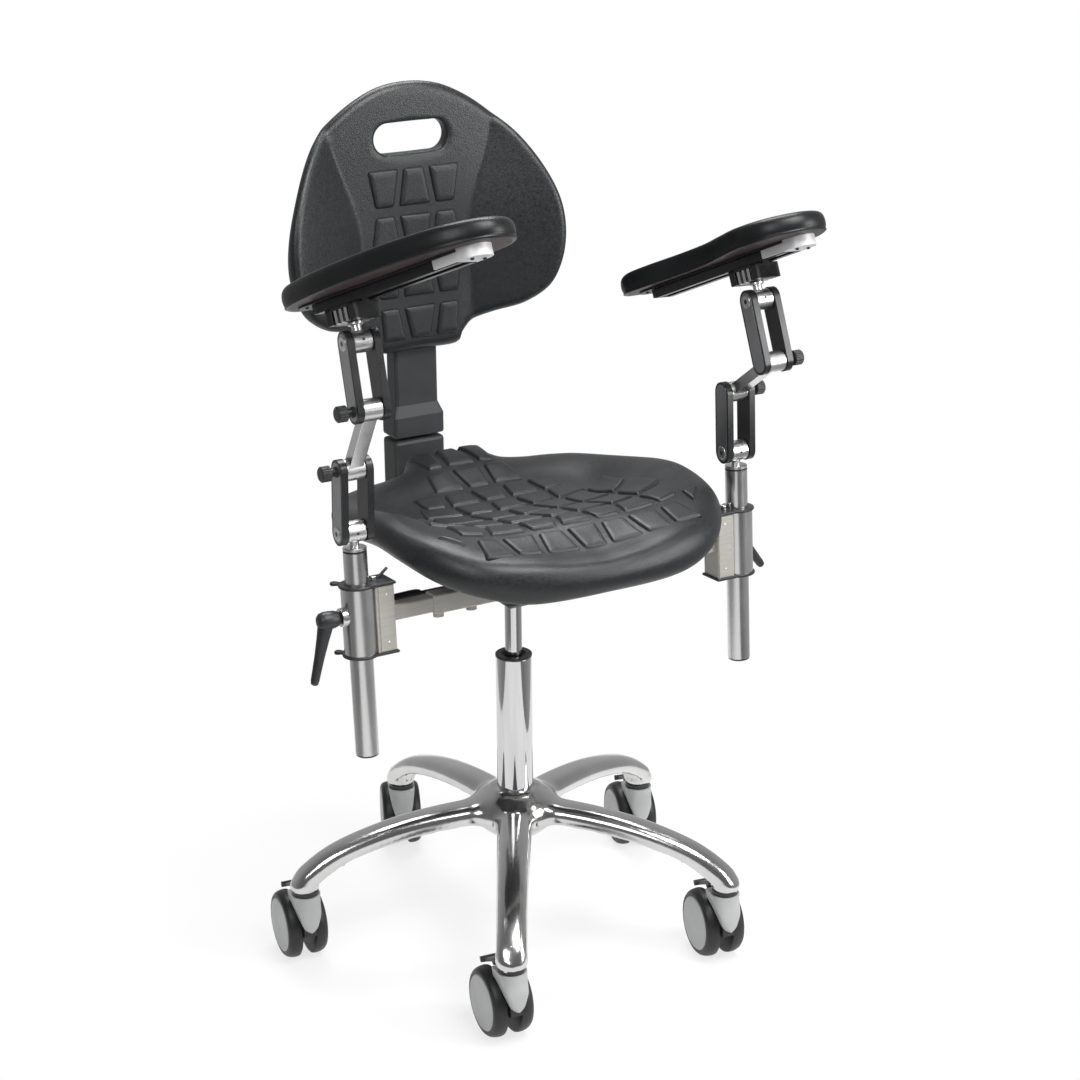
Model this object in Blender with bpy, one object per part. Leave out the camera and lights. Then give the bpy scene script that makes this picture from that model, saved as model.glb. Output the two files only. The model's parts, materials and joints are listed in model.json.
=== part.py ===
"""Surgeon stool with articulated arm rests, in metres, +Z up, facing -Y.

A five-legged star base on braked twin-wheel casters carries a gas column. The seat, the back and
the two arms tilt together on the column's mechanism. Each joint axis has an empty, and the pieces
that move with it are its children, so the whole stool is posed by the empties.
"""
import math

import bmesh
import bpy
from mathutils import Matrix, Vector

# Clearances
GAP = 0.0003                # between pieces that seat on or run in each other
WELD_EPS = 0.00005          # points closer than this are one point

# Roundness
FINE = 20                   # sides of the large round pieces
COARSE = 12                 # sides of the small round pieces

# The whole stool: the origin is the middle of its box on the floor, the column stands off it
COLUMN_X = -0.002
COLUMN_Y = -0.034

# Casters
WHEEL_RADIUS = 0.0475
WHEEL_WIDTH = 0.020
WHEEL_SPLIT = 0.018         # clear width between the two wheels
WHEEL_SIDES = 20
DISC_RADIUS = 0.0375        # flat disc in the wheel's outer face
AXLE_RADIUS = 0.004
CASTER_TRAIL = 0.035
CASTER_STEM_RADIUS = 0.0055
CASTER_STEM_LENGTH = 0.030
CASTER_TOP = 0.1075         # top of the caster's hood
RING_HEIGHT = 0.0065        # dark ring between hood and leg
TONGUE_THICKNESS = 0.006
PEDAL_WIDTH = 0.016
PEDAL_REACH = 0.046
PEDAL_SLOPE = 28.0
PEDAL_END = 0.0075          # thickness of the pedal's toe
CASTER_HEADINGS = (85.0, 81.0, 77.0, 68.0, 84.0)    # where each caster trails, degrees from +X

# Star base
LEG_COUNT = 5
FIRST_LEG_AZIMUTH = -120.35
STEM_CIRCLE = 0.300         # radius of the circle of caster stems
SOCKET_RADIUS = 0.0195
SOCKET_HEIGHT = 0.024
LEG_WALL = 0.005
LEG_ROOF = 0.008
LEG_HALF_WIDTH_HUB = 0.0245
LEG_HALF_WIDTH_END = 0.0202
LEG_RISE = 0.055            # the leg's crown at the hub over its crown at the socket
LEG_ARCH = 2.8              # how late the leg bends down
LEG_FILLET = 0.012          # how far the leg's walls come down to the socket
LEG_NOSE_DROP = 0.008       # how far the crown falls past the stem, twice over
LEG_DEPTH = 0.025
HUB_RADIUS = 0.044
HUB_HEIGHT = 0.069
HUB_FLOOR = 0.005
HUB_SHOULDER = 0.011        # how far the hub's shoulder stands out round the tube

# Column
TUBE_RADIUS = 0.025
TUBE_WALL = 0.002
TUBE_LENGTH = 0.242
BUSH_DEPTH = 0.080
COLLAR_HEIGHT = 0.011
COLLAR_PROUD = 0.0008       # how far the collar stands out past the tube
GAS_RADIUS = 0.0117
GAS_WALL = 0.0018
GAS_SHOWN = 0.080           # gas cylinder between collar and mechanism
GAS_BELOW = 0.150           # gas cylinder below the collar's top
ROD_RADIUS = 0.005
ROD_LENGTH = 0.245
PISTON_HEIGHT = 0.010
GAS_SEAL = 0.006            # floor of the gas cylinder
GAS_HEAD = 0.020            # its solid head
BEARING_HEIGHT = 0.007
FOOT_HEIGHT = 0.004

# Mechanism under the seat
REST_TILT = 3.5             # how far the seat leans back, degrees
HOUSING_HALF_WIDTH = 0.056
HOUSING_FRONT = 0.088
HOUSING_REAR = 0.088
HOUSING_HEIGHT = 0.036
NECK_HEIGHT = 0.022
PIVOT_DROP = 0.013          # tilt axis below the housing's top
PIVOT_RADIUS = 0.009
SHEET = 0.003
PLATE_HALF_WIDTH = 0.100
PLATE_HALF_DEPTH = 0.150
PLATE_HEIGHT = 0.0288       # underside of the seat plate over the tilt axis
CHEEK_DROP = 0.022
CHEEK_FRONT = 0.050
BACK_HINGE_Y = 0.118
LEVER_Y = 0.063
LEVER_RISE = 0.008          # lever's pin over the tilt axis
LEVER_LENGTH = 0.155
LEVER_OUT = 0.011           # lever's pin outside the housing
LEVER_PIN_RADIUS = 0.003
LEVER_EYE_RADIUS = 0.007
LEVER_EYE_HALF = 0.005
LEVER_GRIP = 0.052          # length of the grip on the lever's rod
LEVER_DROOP = 1.0

# Seat cushion
SEAT_CENTRE_Y = -0.040
SEAT_DIP = 0.047            # middle of the seat over the seat plate's top
SEAT_REAR_RISE = 0.044
SEAT_FRONT_RISE = 0.024
SEAT_HOLLOW = 0.028
SEAT_THIGH_DIP = 0.006      # two shallow dips under the thighs
SEAT_RIM_RISE = 0.014
SEAT_REAR_RIM = 0.010       # how much higher the rim stands at the rear
TONGUE_HALF_WIDTH = 0.058
SEAT_EDGE = 0.080           # height of the rounded edge at the front
SEAT_SIDE_EDGE = 0.036
SEAT_LIP = 0.005            # how far the front edge hangs below the seat plate
SEAT_HALF_WIDTH = 0.240
SEAT_FRONT_Y = -0.270
SEAT_REAR_Y = 0.208

# Back
UPRIGHT_FRONT = 0.270       # front face of the upright behind the column axis
UPRIGHT_DEPTH = 0.030
UPRIGHT_HALF_WIDTH = 0.033
FLARE = 0.006
FLARE_HEIGHT = 0.030
BAR_THICKNESS = 0.008
BAR_HALF_WIDTH = 0.020
BAR_BEND = 0.030
SOCKET_RISE = 0.1071        # top of the lower cover over the tilt axis
COVER_HEIGHT = 0.085
BACK_RISE = 0.2391          # lower edge of the back over the tilt axis
BACK_HEIGHT = 0.368
BACK_HALF_WIDTH = 0.209
BACK_FRONT = 0.252          # front face at the lower edge behind the column axis
BACK_LEAN = 2.8
BACK_THICKNESS = 0.038
BACK_TOP_THICKNESS = 0.024
BACK_PANEL_HALF_WIDTH = 0.082
BACK_PANEL_TOP = 0.112      # half width of the flat panel at the top
BACK_WING_REACH = 0.058
BACK_POCKET = 0.120         # how far the upright runs up behind the back
HAND_HOLE_WIDTH = 0.116
HAND_HOLE_HEIGHT = 0.050
HAND_HOLE_UP = 0.292        # middle of the hand hole over the lower edge

# Arms
ARM_X = 0.282               # mast axis from the middle plane
ARM_Y = -0.117              # mast axis and cross beam in front of the column axis
BEAM_SIZE = 0.025
BEAM_WALL = 0.0022
BEAM_HALF_LENGTH = 0.183
BEAM_SCREWS = (0.172, 0.125)
INNER_BEAM_SIZE = 0.020
INNER_BEAM_END = 0.060      # inner end of the telescoping arm from the middle plane
CLAMP_HEIGHT = 0.094
CLAMP_TOP = 0.061           # clamp's top over the tilt axis
CLAMP_RADIUS = 0.021
CLAMP_BLOCK_WIDTH = 0.021
CLAMP_BLOCK_DEPTH = 0.034
CAP_HEIGHT = 0.004
CAP_OVERHANG = 0.0025
BOSS_RADIUS = 0.012
BOSS_LENGTH = 0.005          # clamping boss outside the clamp's barrel
LEVER_DROP = 0.040          # clamping lever below the clamp's top
HANDLE_LENGTH = 0.074
HANDLE_HUB_RADIUS = 0.011
HANDLE_HUB_LENGTH = 0.030
HANDLE_SCREW_RADIUS = 0.004
HANDLE_SLANT = 13.0         # handle leans out, degrees
BEAM_SEAT = 0.012           # how deep the telescoping arm sits in the clamp
MAST_RADIUS = 0.015
MAST_LENGTH = 0.270
STUD_RADIUS = 0.006
STUD_LENGTH = 0.020
EYE_RADIUS = 0.0135
EYE_HALF_LENGTH = 0.0125
EYE_RISE = 0.024            # eye's axis over the mast's top or under the carrier
FLANGE_RADIUS = 0.016
FLANGE_HEIGHT = 0.004
BRACKET_REACH = 0.081
LINK_REACH = 0.104
STRAP_HALF_WIDTH = 0.0150
STRAP_THICKNESS = 0.009
PIN_RADIUS = 0.005
PIN_HEAD_RADIUS = 0.0085
PIN_HEAD_HEIGHT = 0.0015
SCREW_RADIUS = 0.004
KNOB_RADIUS = 0.010
KNOB_LENGTH = 0.014
KNOB_COLLAR = 0.008
KNURLS = 10
KNURL_DEPTH = 0.0012
LINK_BAR_HALF_WIDTH = 0.0095
LINK_BAR_HALF_DEPTH = 0.0075
CARRIER_HEIGHT = 0.020
CARRIER_WIDTH = 0.044
CARRIER_LENGTH = 0.048
CARRIER_RIBS = 4
RAIL_WIDTH = 0.034
RAIL_HEIGHT = 0.012
RAIL_WALL = 0.003
RAIL_SLOT = 0.014
RAIL_LENGTH = 0.230
PAD_PLATE_WIDTH = 0.042
PAD_PLATE_LENGTH = 0.300
PAD_PLATE_HEIGHT = 0.003
PAD_HEIGHT = 0.027
PAD_LENGTH = 0.344
PAD_WIDTH = 0.132
PAD_PITCH = 25.0            # arm pads rise to the front, degrees

# How each arm stands in the photograph: side, mast over the clamp, forward lean of the three
# links in degrees, the pad's turn towards +X and its shift along its rail, and the clamping
# lever's heading from the outer side to the rear and its turn on its screw
ARM_POSES = {
    "right": {"side": -1, "mast_out": 0.043, "lower": 2.7, "link": 30.9, "upper": -15.3,
              "yaw": 23.0, "shift": 0.072, "lever_heading": 0.0, "lever_turn": 0.0},
    "left": {"side": 1, "mast_out": 0.0535, "lower": -3.0, "link": 54.3, "upper": -22.9,
             "yaw": 16.0, "shift": -0.046, "lever_heading": 65.0, "lever_turn": -33.0},
}

# Colour, roughness and metallic value of each finish
FINISHES = {
    "polished aluminium": ((0.78, 0.78, 0.80), 0.18, 1.0),
    "chrome": ((0.82, 0.82, 0.84), 0.08, 1.0),
    "satin aluminium": ((0.74, 0.75, 0.76), 0.32, 1.0),
    "anodised": ((0.80, 0.79, 0.75), 0.35, 1.0),
    "painted steel": ((0.56, 0.55, 0.52), 0.45, 0.2),
    "black plastic": ((0.025, 0.026, 0.028), 0.45, 0.0),
    "grey plastic": ((0.42, 0.42, 0.42), 0.42, 0.0),
    "tyre": ((0.02, 0.02, 0.021), 0.55, 0.0),
    "moulded foam": ((0.030, 0.032, 0.033), 0.50, 0.0),
}

# Heights that follow from the sizes above
AXLE_HEIGHT = WHEEL_RADIUS
RIM_HEIGHT = CASTER_TOP + RING_HEIGHT + GAP
LEG_END_TOP = RIM_HEIGHT + SOCKET_HEIGHT + 0.016
HUB_TOP_LEG = LEG_END_TOP + LEG_RISE
HUB_BOTTOM = HUB_TOP_LEG - 0.046
HUB_TOP = HUB_BOTTOM + HUB_HEIGHT
TUBE_BOTTOM = HUB_BOTTOM + HUB_FLOOR + GAP
TUBE_TOP = TUBE_BOTTOM + TUBE_LENGTH
COLLAR_TOP = TUBE_TOP + GAP + COLLAR_HEIGHT
TUBE_FLOOR = 0.004
BEARING_BOTTOM = TUBE_BOTTOM + TUBE_FLOOR + GAP
ROD_BOTTOM = BEARING_BOTTOM + BEARING_HEIGHT + GAP
GAS_BOTTOM = COLLAR_TOP - GAS_BELOW
NECK_BOTTOM = COLLAR_TOP + GAS_SHOWN
HOUSING_BOTTOM = NECK_BOTTOM + NECK_HEIGHT
HOUSING_TOP = HOUSING_BOTTOM + HOUSING_HEIGHT
TILT_HEIGHT = HOUSING_TOP - PIVOT_DROP
SOCKET_TOP = TILT_HEIGHT + SOCKET_RISE
BACK_BOTTOM = TILT_HEIGHT + BACK_RISE
GAS_TOP = HOUSING_TOP - 0.010
SEAT_BOTTOM = PLATE_HEIGHT + SHEET + GAP
BEAM_HEIGHT = PLATE_HEIGHT - GAP - BEAM_SIZE / 2
RAIL_BOTTOM = EYE_RISE + CARRIER_HEIGHT
PAD_BOTTOM = RAIL_BOTTOM + 2 * GAP + RAIL_HEIGHT + GAP + PAD_PLATE_HEIGHT + GAP


def clear_scene():
    for thing in list(bpy.data.objects):
        bpy.data.objects.remove(thing, do_unlink=True)


def smooth(t):
    """Ease from 0 to 1."""
    t = min(1.0, max(0.0, t))
    return t * t * (3.0 - 2.0 * t)


def curve_through(points, closed, steps):
    """Points along a Catmull-Rom curve through the given points."""
    points = [Vector(p) for p in points]
    count = len(points)
    spans = count if closed else count - 1
    out = []
    for i in range(spans):
        if closed:
            a, b, c, d = (points[(i + k - 1) % count] for k in range(4))
        else:
            a, b, c, d = (points[min(count - 1, max(0, i + k - 1))] for k in range(4))
        for step in range(steps):
            t = step / steps
            out.append(0.5 * (2 * b + (c - a) * t + (2 * a - 5 * b + 4 * c - d) * t * t
                              + (3 * b - a - 3 * c + d) * t ** 3))
    if not closed:
        out.append(points[-1])
    return out


def height_along(points, at):
    """Value of a smooth profile given as (place, value) pairs in rising order."""
    points = sorted(points)
    at = min(points[-1][0], max(points[0][0], at))
    for (p, u), (q, v) in zip(points, points[1:]):
        if at <= q:
            return u + (v - u) * smooth((at - p) / (q - p))
    return points[-1][1]


def new_object(name, bm):
    bmesh.ops.remove_doubles(bm, verts=bm.verts, dist=WELD_EPS)
    bmesh.ops.recalc_face_normals(bm, faces=bm.faces)
    mesh = bpy.data.meshes.new(name)
    bm.to_mesh(mesh)
    bm.free()
    thing = bpy.data.objects.new(name, mesh)
    bpy.context.scene.collection.objects.link(thing)
    return thing


def loft(name, rings, looped=False):
    """Skin closed rings of equal count; the ends are capped unless the rings run in a loop.

    A ring of a single point is a pole."""
    bm = bmesh.new()
    rows = [[bm.verts.new(p) for p in ring] for ring in rings]
    pairs = list(zip(rows, rows[1:]))
    if looped:
        pairs.append((rows[-1], rows[0]))
    for low, high in pairs:
        count = max(len(low), len(high))
        for i in range(count):
            j = (i + 1) % count
            corners = []
            for row, k in ((low, i), (low, j), (high, j), (high, i)):
                vert = row[k] if len(row) > 1 else row[0]
                if vert not in corners:
                    corners.append(vert)
            bm.faces.new(corners)
    if not looped:
        for row in (rows[0], rows[-1]):
            if len(row) > 1:
                bm.faces.new(row)
    return new_object(name, bm)


def circle(radius, height, sides, centre=(0.0, 0.0), outside=False):
    """A level ring of points; outside puts the sides, not the corners, at the radius."""
    if radius <= WELD_EPS:
        return [Vector((centre[0], centre[1], height))]
    reach = radius / math.cos(math.pi / sides) if outside else radius
    turns = [math.tau * (i + 0.5) / sides for i in range(sides)]
    return [Vector((centre[0] + reach * math.cos(t), centre[1] + reach * math.sin(t), height))
            for t in turns]


def lathe(name, profile, sides, looped=False, outside=False):
    """Turn (radius, height) pairs about Z."""
    return loft(name, [circle(r, z, sides, outside=outside) for r, z in profile], looped)


def rod(name, radius, bottom, top, sides=COARSE):
    return lathe(name, [(radius, bottom), (radius, top)], sides)


def prism(name, outline, bottom, top):
    """Extrude a flat outline of (x, y) pairs."""
    return loft(name, [[Vector((x, y, z)) for x, y in outline] for z in (bottom, top)])


def box(name, low, high):
    (x0, y0, z0), (x1, y1, z1) = low, high
    return prism(name, [(x0, y0), (x1, y0), (x1, y1), (x0, y1)], z0, z1)


def stadium(half_width, reach, sides=7, start=0.0):
    """Outline of a strap with round ends, from one end's centre to the other's along +Y."""
    out = []
    for centre, first in ((start + reach, 0.0), (start, math.pi)):
        for i in range(sides + 1):
            t = first + math.pi * i / sides
            out.append((half_width * math.cos(t), centre + half_width * math.sin(t)))
    return out


def move(thing, *matrices):
    for matrix in matrices:
        thing.data.transform(matrix)
    if matrices[-1].is_negative:
        thing.data.flip_normals()
    return thing


def shift(x=0.0, y=0.0, z=0.0):
    return Matrix.Translation((x, y, z))


def turn(degrees, axis):
    return Matrix.Rotation(math.radians(degrees), 4, axis)


def combine(thing, others, operation):
    """Apply a Boolean with each of the others, which are used up."""
    for other in others:
        modifier = thing.modifiers.new(operation, "BOOLEAN")
        modifier.operation = operation
        modifier.solver = "EXACT"
        modifier.object = other
        bpy.context.view_layer.update()
        graph = bpy.context.evaluated_depsgraph_get()
        mesh = bpy.data.meshes.new_from_object(thing.evaluated_get(graph))
        thing.modifiers.clear()
        old = thing.data
        thing.data = mesh
        mesh.name = thing.name
        bpy.data.meshes.remove(old)
        bpy.data.objects.remove(other, do_unlink=True)
    return thing


def union(thing, *others):
    return combine(thing, others, "UNION")


def cut(thing, *others):
    return combine(thing, others, "DIFFERENCE")


def soften(thing, width, segments=2, angle=35.0):
    """Round the sharp edges."""
    bevel = thing.modifiers.new("edges", "BEVEL")
    bevel.width = width
    bevel.segments = segments
    bevel.limit_method = "ANGLE"
    bevel.angle_limit = math.radians(angle)
    return thing


def joint_frame(name, parent, place=(0.0, 0.0, 0.0), tilt=0.0, heading=0.0):
    """An empty on a joint's axis."""
    empty = bpy.data.objects.new(name, None)
    empty.empty_display_size = 0.03
    bpy.context.scene.collection.objects.link(empty)
    empty.parent = parent
    empty.location = place
    empty.rotation_euler = (math.radians(tilt), 0.0, math.radians(heading))
    return empty


def finish(thing, kind, parent, sharp=32.0):
    """Give a piece its material and shading, and hang it on its joint."""
    colour, roughness, metallic = FINISHES[kind]
    material = bpy.data.materials.new(f"{thing.name} {kind}")
    material.use_nodes = True
    shader = material.node_tree.nodes["Principled BSDF"]
    shader.inputs["Base Color"].default_value = (*colour, 1.0)
    shader.inputs["Roughness"].default_value = roughness
    shader.inputs["Metallic"].default_value = metallic
    thing.data.materials.clear()
    thing.data.materials.append(material)
    thing.data.shade_smooth()
    thing.data.set_sharp_from_angle(angle=math.radians(sharp))
    thing.parent = parent
    return thing


# Star base and column


def leg_section(reach):
    """Inverted U of the cast leg at a distance from the column axis, rounded off past the stem."""
    share = min(1.0, reach / STEM_CIRCLE)
    nose = max(0.0, reach - STEM_CIRCLE) / LEG_HALF_WIDTH_END
    taper = math.sqrt(1.0 - nose ** 2)
    half = (LEG_HALF_WIDTH_HUB + (LEG_HALF_WIDTH_END - LEG_HALF_WIDTH_HUB) * smooth(share)) * taper
    crown = HUB_TOP_LEG - LEG_RISE * share ** LEG_ARCH - LEG_NOSE_DROP * (nose + 1.0 - taper)
    foot = crown - LEG_DEPTH * (1.0 - 0.3 * nose) - LEG_FILLET * smooth((share - 0.80) / 0.20)
    ring = [(half, foot)]
    for i in range(6):
        t = math.pi * i / 5
        ring.append((half * math.copysign(abs(math.cos(t)) ** 0.75, math.cos(t)),
                     foot + (crown - foot) * (0.35 + 0.65 * math.sin(t))))
    inner = half - LEG_WALL * taper
    roof = crown - LEG_ROOF * taper
    ring += [(-half, foot), (-inner, foot), (-inner * 0.8, roof), (inner * 0.8, roof), (inner, foot)]
    return [Vector((reach, y, z)) for y, z in ring]


def make_leg(name):
    start = HUB_RADIUS * 0.75
    stations = [start + (STEM_CIRCLE - start) * share for share in (0.0, 0.3, 0.55, 0.75, 0.88, 1.0)]
    stations += [STEM_CIRCLE + LEG_HALF_WIDTH_END * share for share in (0.45, 0.78, 0.96)]
    leg = loft(name, [leg_section(r) for r in stations])
    neck = SOCKET_RADIUS - 0.002
    roof = LEG_END_TOP - LEG_ROOF / 2
    socket = lathe("socket", [
        (0.0, RIM_HEIGHT), (SOCKET_RADIUS, RIM_HEIGHT),
        (SOCKET_RADIUS, RIM_HEIGHT + SOCKET_HEIGHT * 0.5), (neck, RIM_HEIGHT + SOCKET_HEIGHT),
        (neck * 0.7, roof), (0.0, roof)], COARSE + 4)
    return union(leg, move(socket, shift(x=STEM_CIRCLE)))


def make_star_base(parent):
    bore = TUBE_RADIUS + GAP
    lip = bore - TUBE_WALL - 0.004
    hub = lathe("star_base", [
        (lip, HUB_BOTTOM), (HUB_RADIUS * 0.96, HUB_BOTTOM),
        (HUB_RADIUS, HUB_BOTTOM + HUB_HEIGHT * 0.25),
        (HUB_RADIUS * 0.96, HUB_BOTTOM + HUB_HEIGHT * 0.5),
        (bore + HUB_SHOULDER, HUB_BOTTOM + HUB_HEIGHT * 0.7),
        (bore + HUB_SHOULDER * 0.41, HUB_BOTTOM + HUB_HEIGHT * 0.86),
        (bore + HUB_SHOULDER * 0.23, HUB_TOP), (bore, HUB_TOP),
        (bore, HUB_BOTTOM + HUB_FLOOR), (lip, HUB_BOTTOM + HUB_FLOOR)], FINE, looped=True)
    for k in range(LEG_COUNT):
        spread = turn(FIRST_LEG_AZIMUTH + k * 360.0 / LEG_COUNT, "Z")
        union(hub, move(make_leg("leg"), spread))
    bottom = RIM_HEIGHT - SOCKET_HEIGHT
    core = lathe("core", [(0.0, HUB_BOTTOM + HUB_FLOOR), (bore, HUB_BOTTOM + HUB_FLOOR),
                          (bore, HUB_TOP + HUB_HEIGHT), (0.0, HUB_TOP + HUB_HEIGHT)], FINE)
    cut(hub, core, rod("drain", lip, bottom, HUB_TOP, FINE))
    for k in range(LEG_COUNT):
        spread = turn(FIRST_LEG_AZIMUTH + k * 360.0 / LEG_COUNT, "Z")
        stem = rod("stem bore", CASTER_STEM_RADIUS + GAP, bottom, RIM_HEIGHT + CASTER_STEM_LENGTH + GAP)
        cut(hub, move(stem, shift(x=STEM_CIRCLE), spread))
    return finish(hub, "polished aluminium", parent)


def make_column(base, swivel, lift):
    inner = TUBE_RADIUS - TUBE_WALL
    tube = lathe("column_tube", [
        (0.0, TUBE_BOTTOM), (TUBE_RADIUS, TUBE_BOTTOM), (TUBE_RADIUS, TUBE_TOP), (inner, TUBE_TOP),
        (inner, TUBE_BOTTOM + TUBE_FLOOR), (0.0, TUBE_BOTTOM + TUBE_FLOOR)], FINE)
    finish(tube, "chrome", base)
    bore = GAS_RADIUS + GAP
    bush = lathe("column_bush", [
        (inner - GAP, TUBE_TOP - BUSH_DEPTH), (inner - GAP, TUBE_TOP + GAP),
        (TUBE_RADIUS + COLLAR_PROUD, TUBE_TOP + GAP),
        (TUBE_RADIUS + COLLAR_PROUD, COLLAR_TOP - 2.5 * COLLAR_PROUD),
        (TUBE_RADIUS - COLLAR_PROUD, COLLAR_TOP), (bore, COLLAR_TOP),
        (bore, TUBE_TOP - BUSH_DEPTH)], FINE, looped=True)
    finish(bush, "black plastic", base)
    bearing = lathe("thrust_bearing", [
        (ROD_RADIUS, BEARING_BOTTOM), (inner * 0.74, BEARING_BOTTOM),
        (inner * 0.74, BEARING_BOTTOM + BEARING_HEIGHT),
        (ROD_RADIUS, BEARING_BOTTOM + BEARING_HEIGHT)], COARSE, looped=True)
    finish(bearing, "satin aluminium", base)
    # Heights below are over the swivel frame, which stands on the bearing
    piston = GAS_RADIUS - GAS_WALL - GAP
    foot = inner * 0.65
    neck = ROD_LENGTH - PISTON_HEIGHT
    gas_rod = lathe("gas_rod", [
        (0.0, 0.0), (foot, 0.0), (foot, FOOT_HEIGHT), (ROD_RADIUS, FOOT_HEIGHT), (ROD_RADIUS, neck),
        (piston, neck), (piston, ROD_LENGTH), (0.0, ROD_LENGTH)], COARSE)
    finish(gas_rod, "chrome", swivel)
    low = GAS_BOTTOM - ROD_BOTTOM
    high = GAS_TOP - ROD_BOTTOM
    wall = GAS_RADIUS - GAS_WALL
    gas = lathe("gas_cylinder", [
        (0.0, high), (GAS_RADIUS, high), (GAS_RADIUS, low), (ROD_RADIUS + GAP, low),
        (ROD_RADIUS + GAP, low + GAS_SEAL), (wall, low + GAS_SEAL), (wall, high - GAS_HEAD),
        (0.0, high - GAS_HEAD)], FINE)
    finish(gas, "chrome", lift)


# Casters: the stem is the local Z axis and the wheels trail along +X


def make_caster(k, swivel, roll, pedal):
    front = WHEEL_RADIUS + 0.0015
    split = WHEEL_SPLIT / 2 - GAP
    stem = rod(f"caster_{k}_housing", CASTER_STEM_RADIUS, CASTER_TOP, RIM_HEIGHT + CASTER_STEM_LENGTH)
    ring = rod("ring", SOCKET_RADIUS - 0.002, CASTER_TOP - 0.001, CASTER_TOP + RING_HEIGHT)
    rings = []
    for i in range(7):
        share = i / 6
        height = CASTER_TOP - (CASTER_TOP - AXLE_HEIGHT + 0.004) * share
        half = SOCKET_RADIUS * (1.0 - 0.62 * share ** 1.5)
        lead = -SOCKET_RADIUS - 0.004 * smooth(share * 1.5)
        over = height - AXLE_HEIGHT
        back = CASTER_TRAIL - math.sqrt(max(0.0, front ** 2 - over ** 2)) if over < front else SOCKET_RADIUS
        back = max(lead + TONGUE_THICKNESS, min(SOCKET_RADIUS, back))
        rings.append([Vector((x, y, height)) for x, y in (
            (lead, -half * 0.55), (lead + 0.004, -half), (back, -half), (back, half),
            (lead + 0.004, half), (lead, half * 0.55))])
    tongue = loft("tongue", rings)
    web_outline = [(-SOCKET_RADIUS + 0.004, AXLE_HEIGHT), (CASTER_TRAIL, AXLE_HEIGHT - 0.014),
                   (CASTER_TRAIL + 0.014, AXLE_HEIGHT), (CASTER_TRAIL + 0.013, CASTER_TOP - 0.020),
                   (CASTER_TRAIL + 0.0075, CASTER_TOP - 0.0095),
                   (SOCKET_RADIUS - 0.004, CASTER_TOP - 0.001),
                   (-SOCKET_RADIUS + 0.006, CASTER_TOP - 0.003)]
    web = prism("web", web_outline, -split, split)
    move(web, turn(90, "X"))
    axle_bore = rod("axle bore", AXLE_RADIUS + GAP, -WHEEL_SPLIT, WHEEL_SPLIT, COARSE)
    move(axle_bore, turn(90, "X"), shift(x=CASTER_TRAIL, z=AXLE_HEIGHT))
    hinge = rod("hinge groove", PIN_RADIUS + GAP, -WHEEL_SPLIT, WHEEL_SPLIT, COARSE)
    move(hinge, turn(90, "X"), shift(x=CASTER_TRAIL + 0.004, z=CASTER_TOP - 0.006))
    roof = box("roof", (SOCKET_RADIUS + 0.002, -WHEEL_SPLIT, CASTER_TOP - 0.0085),
               (CASTER_TRAIL + 0.04, WHEEL_SPLIT, CASTER_TOP + 0.01))
    housing = cut(union(stem, ring, tongue, web), axle_bore, roof, hinge)
    finish(housing, "grey plastic", swivel)

    edge = WHEEL_SPLIT / 2 + WHEEL_WIDTH
    half_profile = [(0.0, edge), (DISC_RADIUS, edge), (DISC_RADIUS + 0.001, edge - 0.002),
                    (WHEEL_RADIUS - 0.003, edge - 0.004), (WHEEL_RADIUS, edge - 0.010),
                    (WHEEL_RADIUS, WHEEL_SPLIT / 2), (AXLE_RADIUS, WHEEL_SPLIT / 2)]
    profile = half_profile + [(r, -z) for r, z in reversed(half_profile)]
    wheels = lathe(f"caster_{k}_wheels", profile, WHEEL_SIDES, outside=True)
    move(wheels, turn(90, "X"))
    finish(wheels, "tyre", roll)

    # The pedal's frame is on its hinge, its plate reaches back over the wheels
    hub = rod(f"caster_{k}_brake", PIN_RADIUS, -split, split, COARSE)
    move(hub, turn(90, "X"))
    half = PEDAL_WIDTH / 2
    side = [(0.0, half), (0.62, half), (0.8, half * 1.5), (1.0, half * 1.2)]
    plate = [(PEDAL_REACH * x, -y) for x, y in side] + [(PEDAL_REACH * x, y) for x, y in reversed(side)]
    union(hub, move(prism("plate", plate, 0.0, PIN_RADIUS), turn(PEDAL_SLOPE, "Y")))
    toe = [(x, y * 0.98) for x, y in plate if x > PEDAL_REACH * 0.7]
    union(hub, move(prism("toe", toe, PIN_RADIUS / 2, PEDAL_END), turn(PEDAL_SLOPE, "Y")))
    finish(hub, "black plastic", pedal)


# Mechanism, seat and height lever


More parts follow.
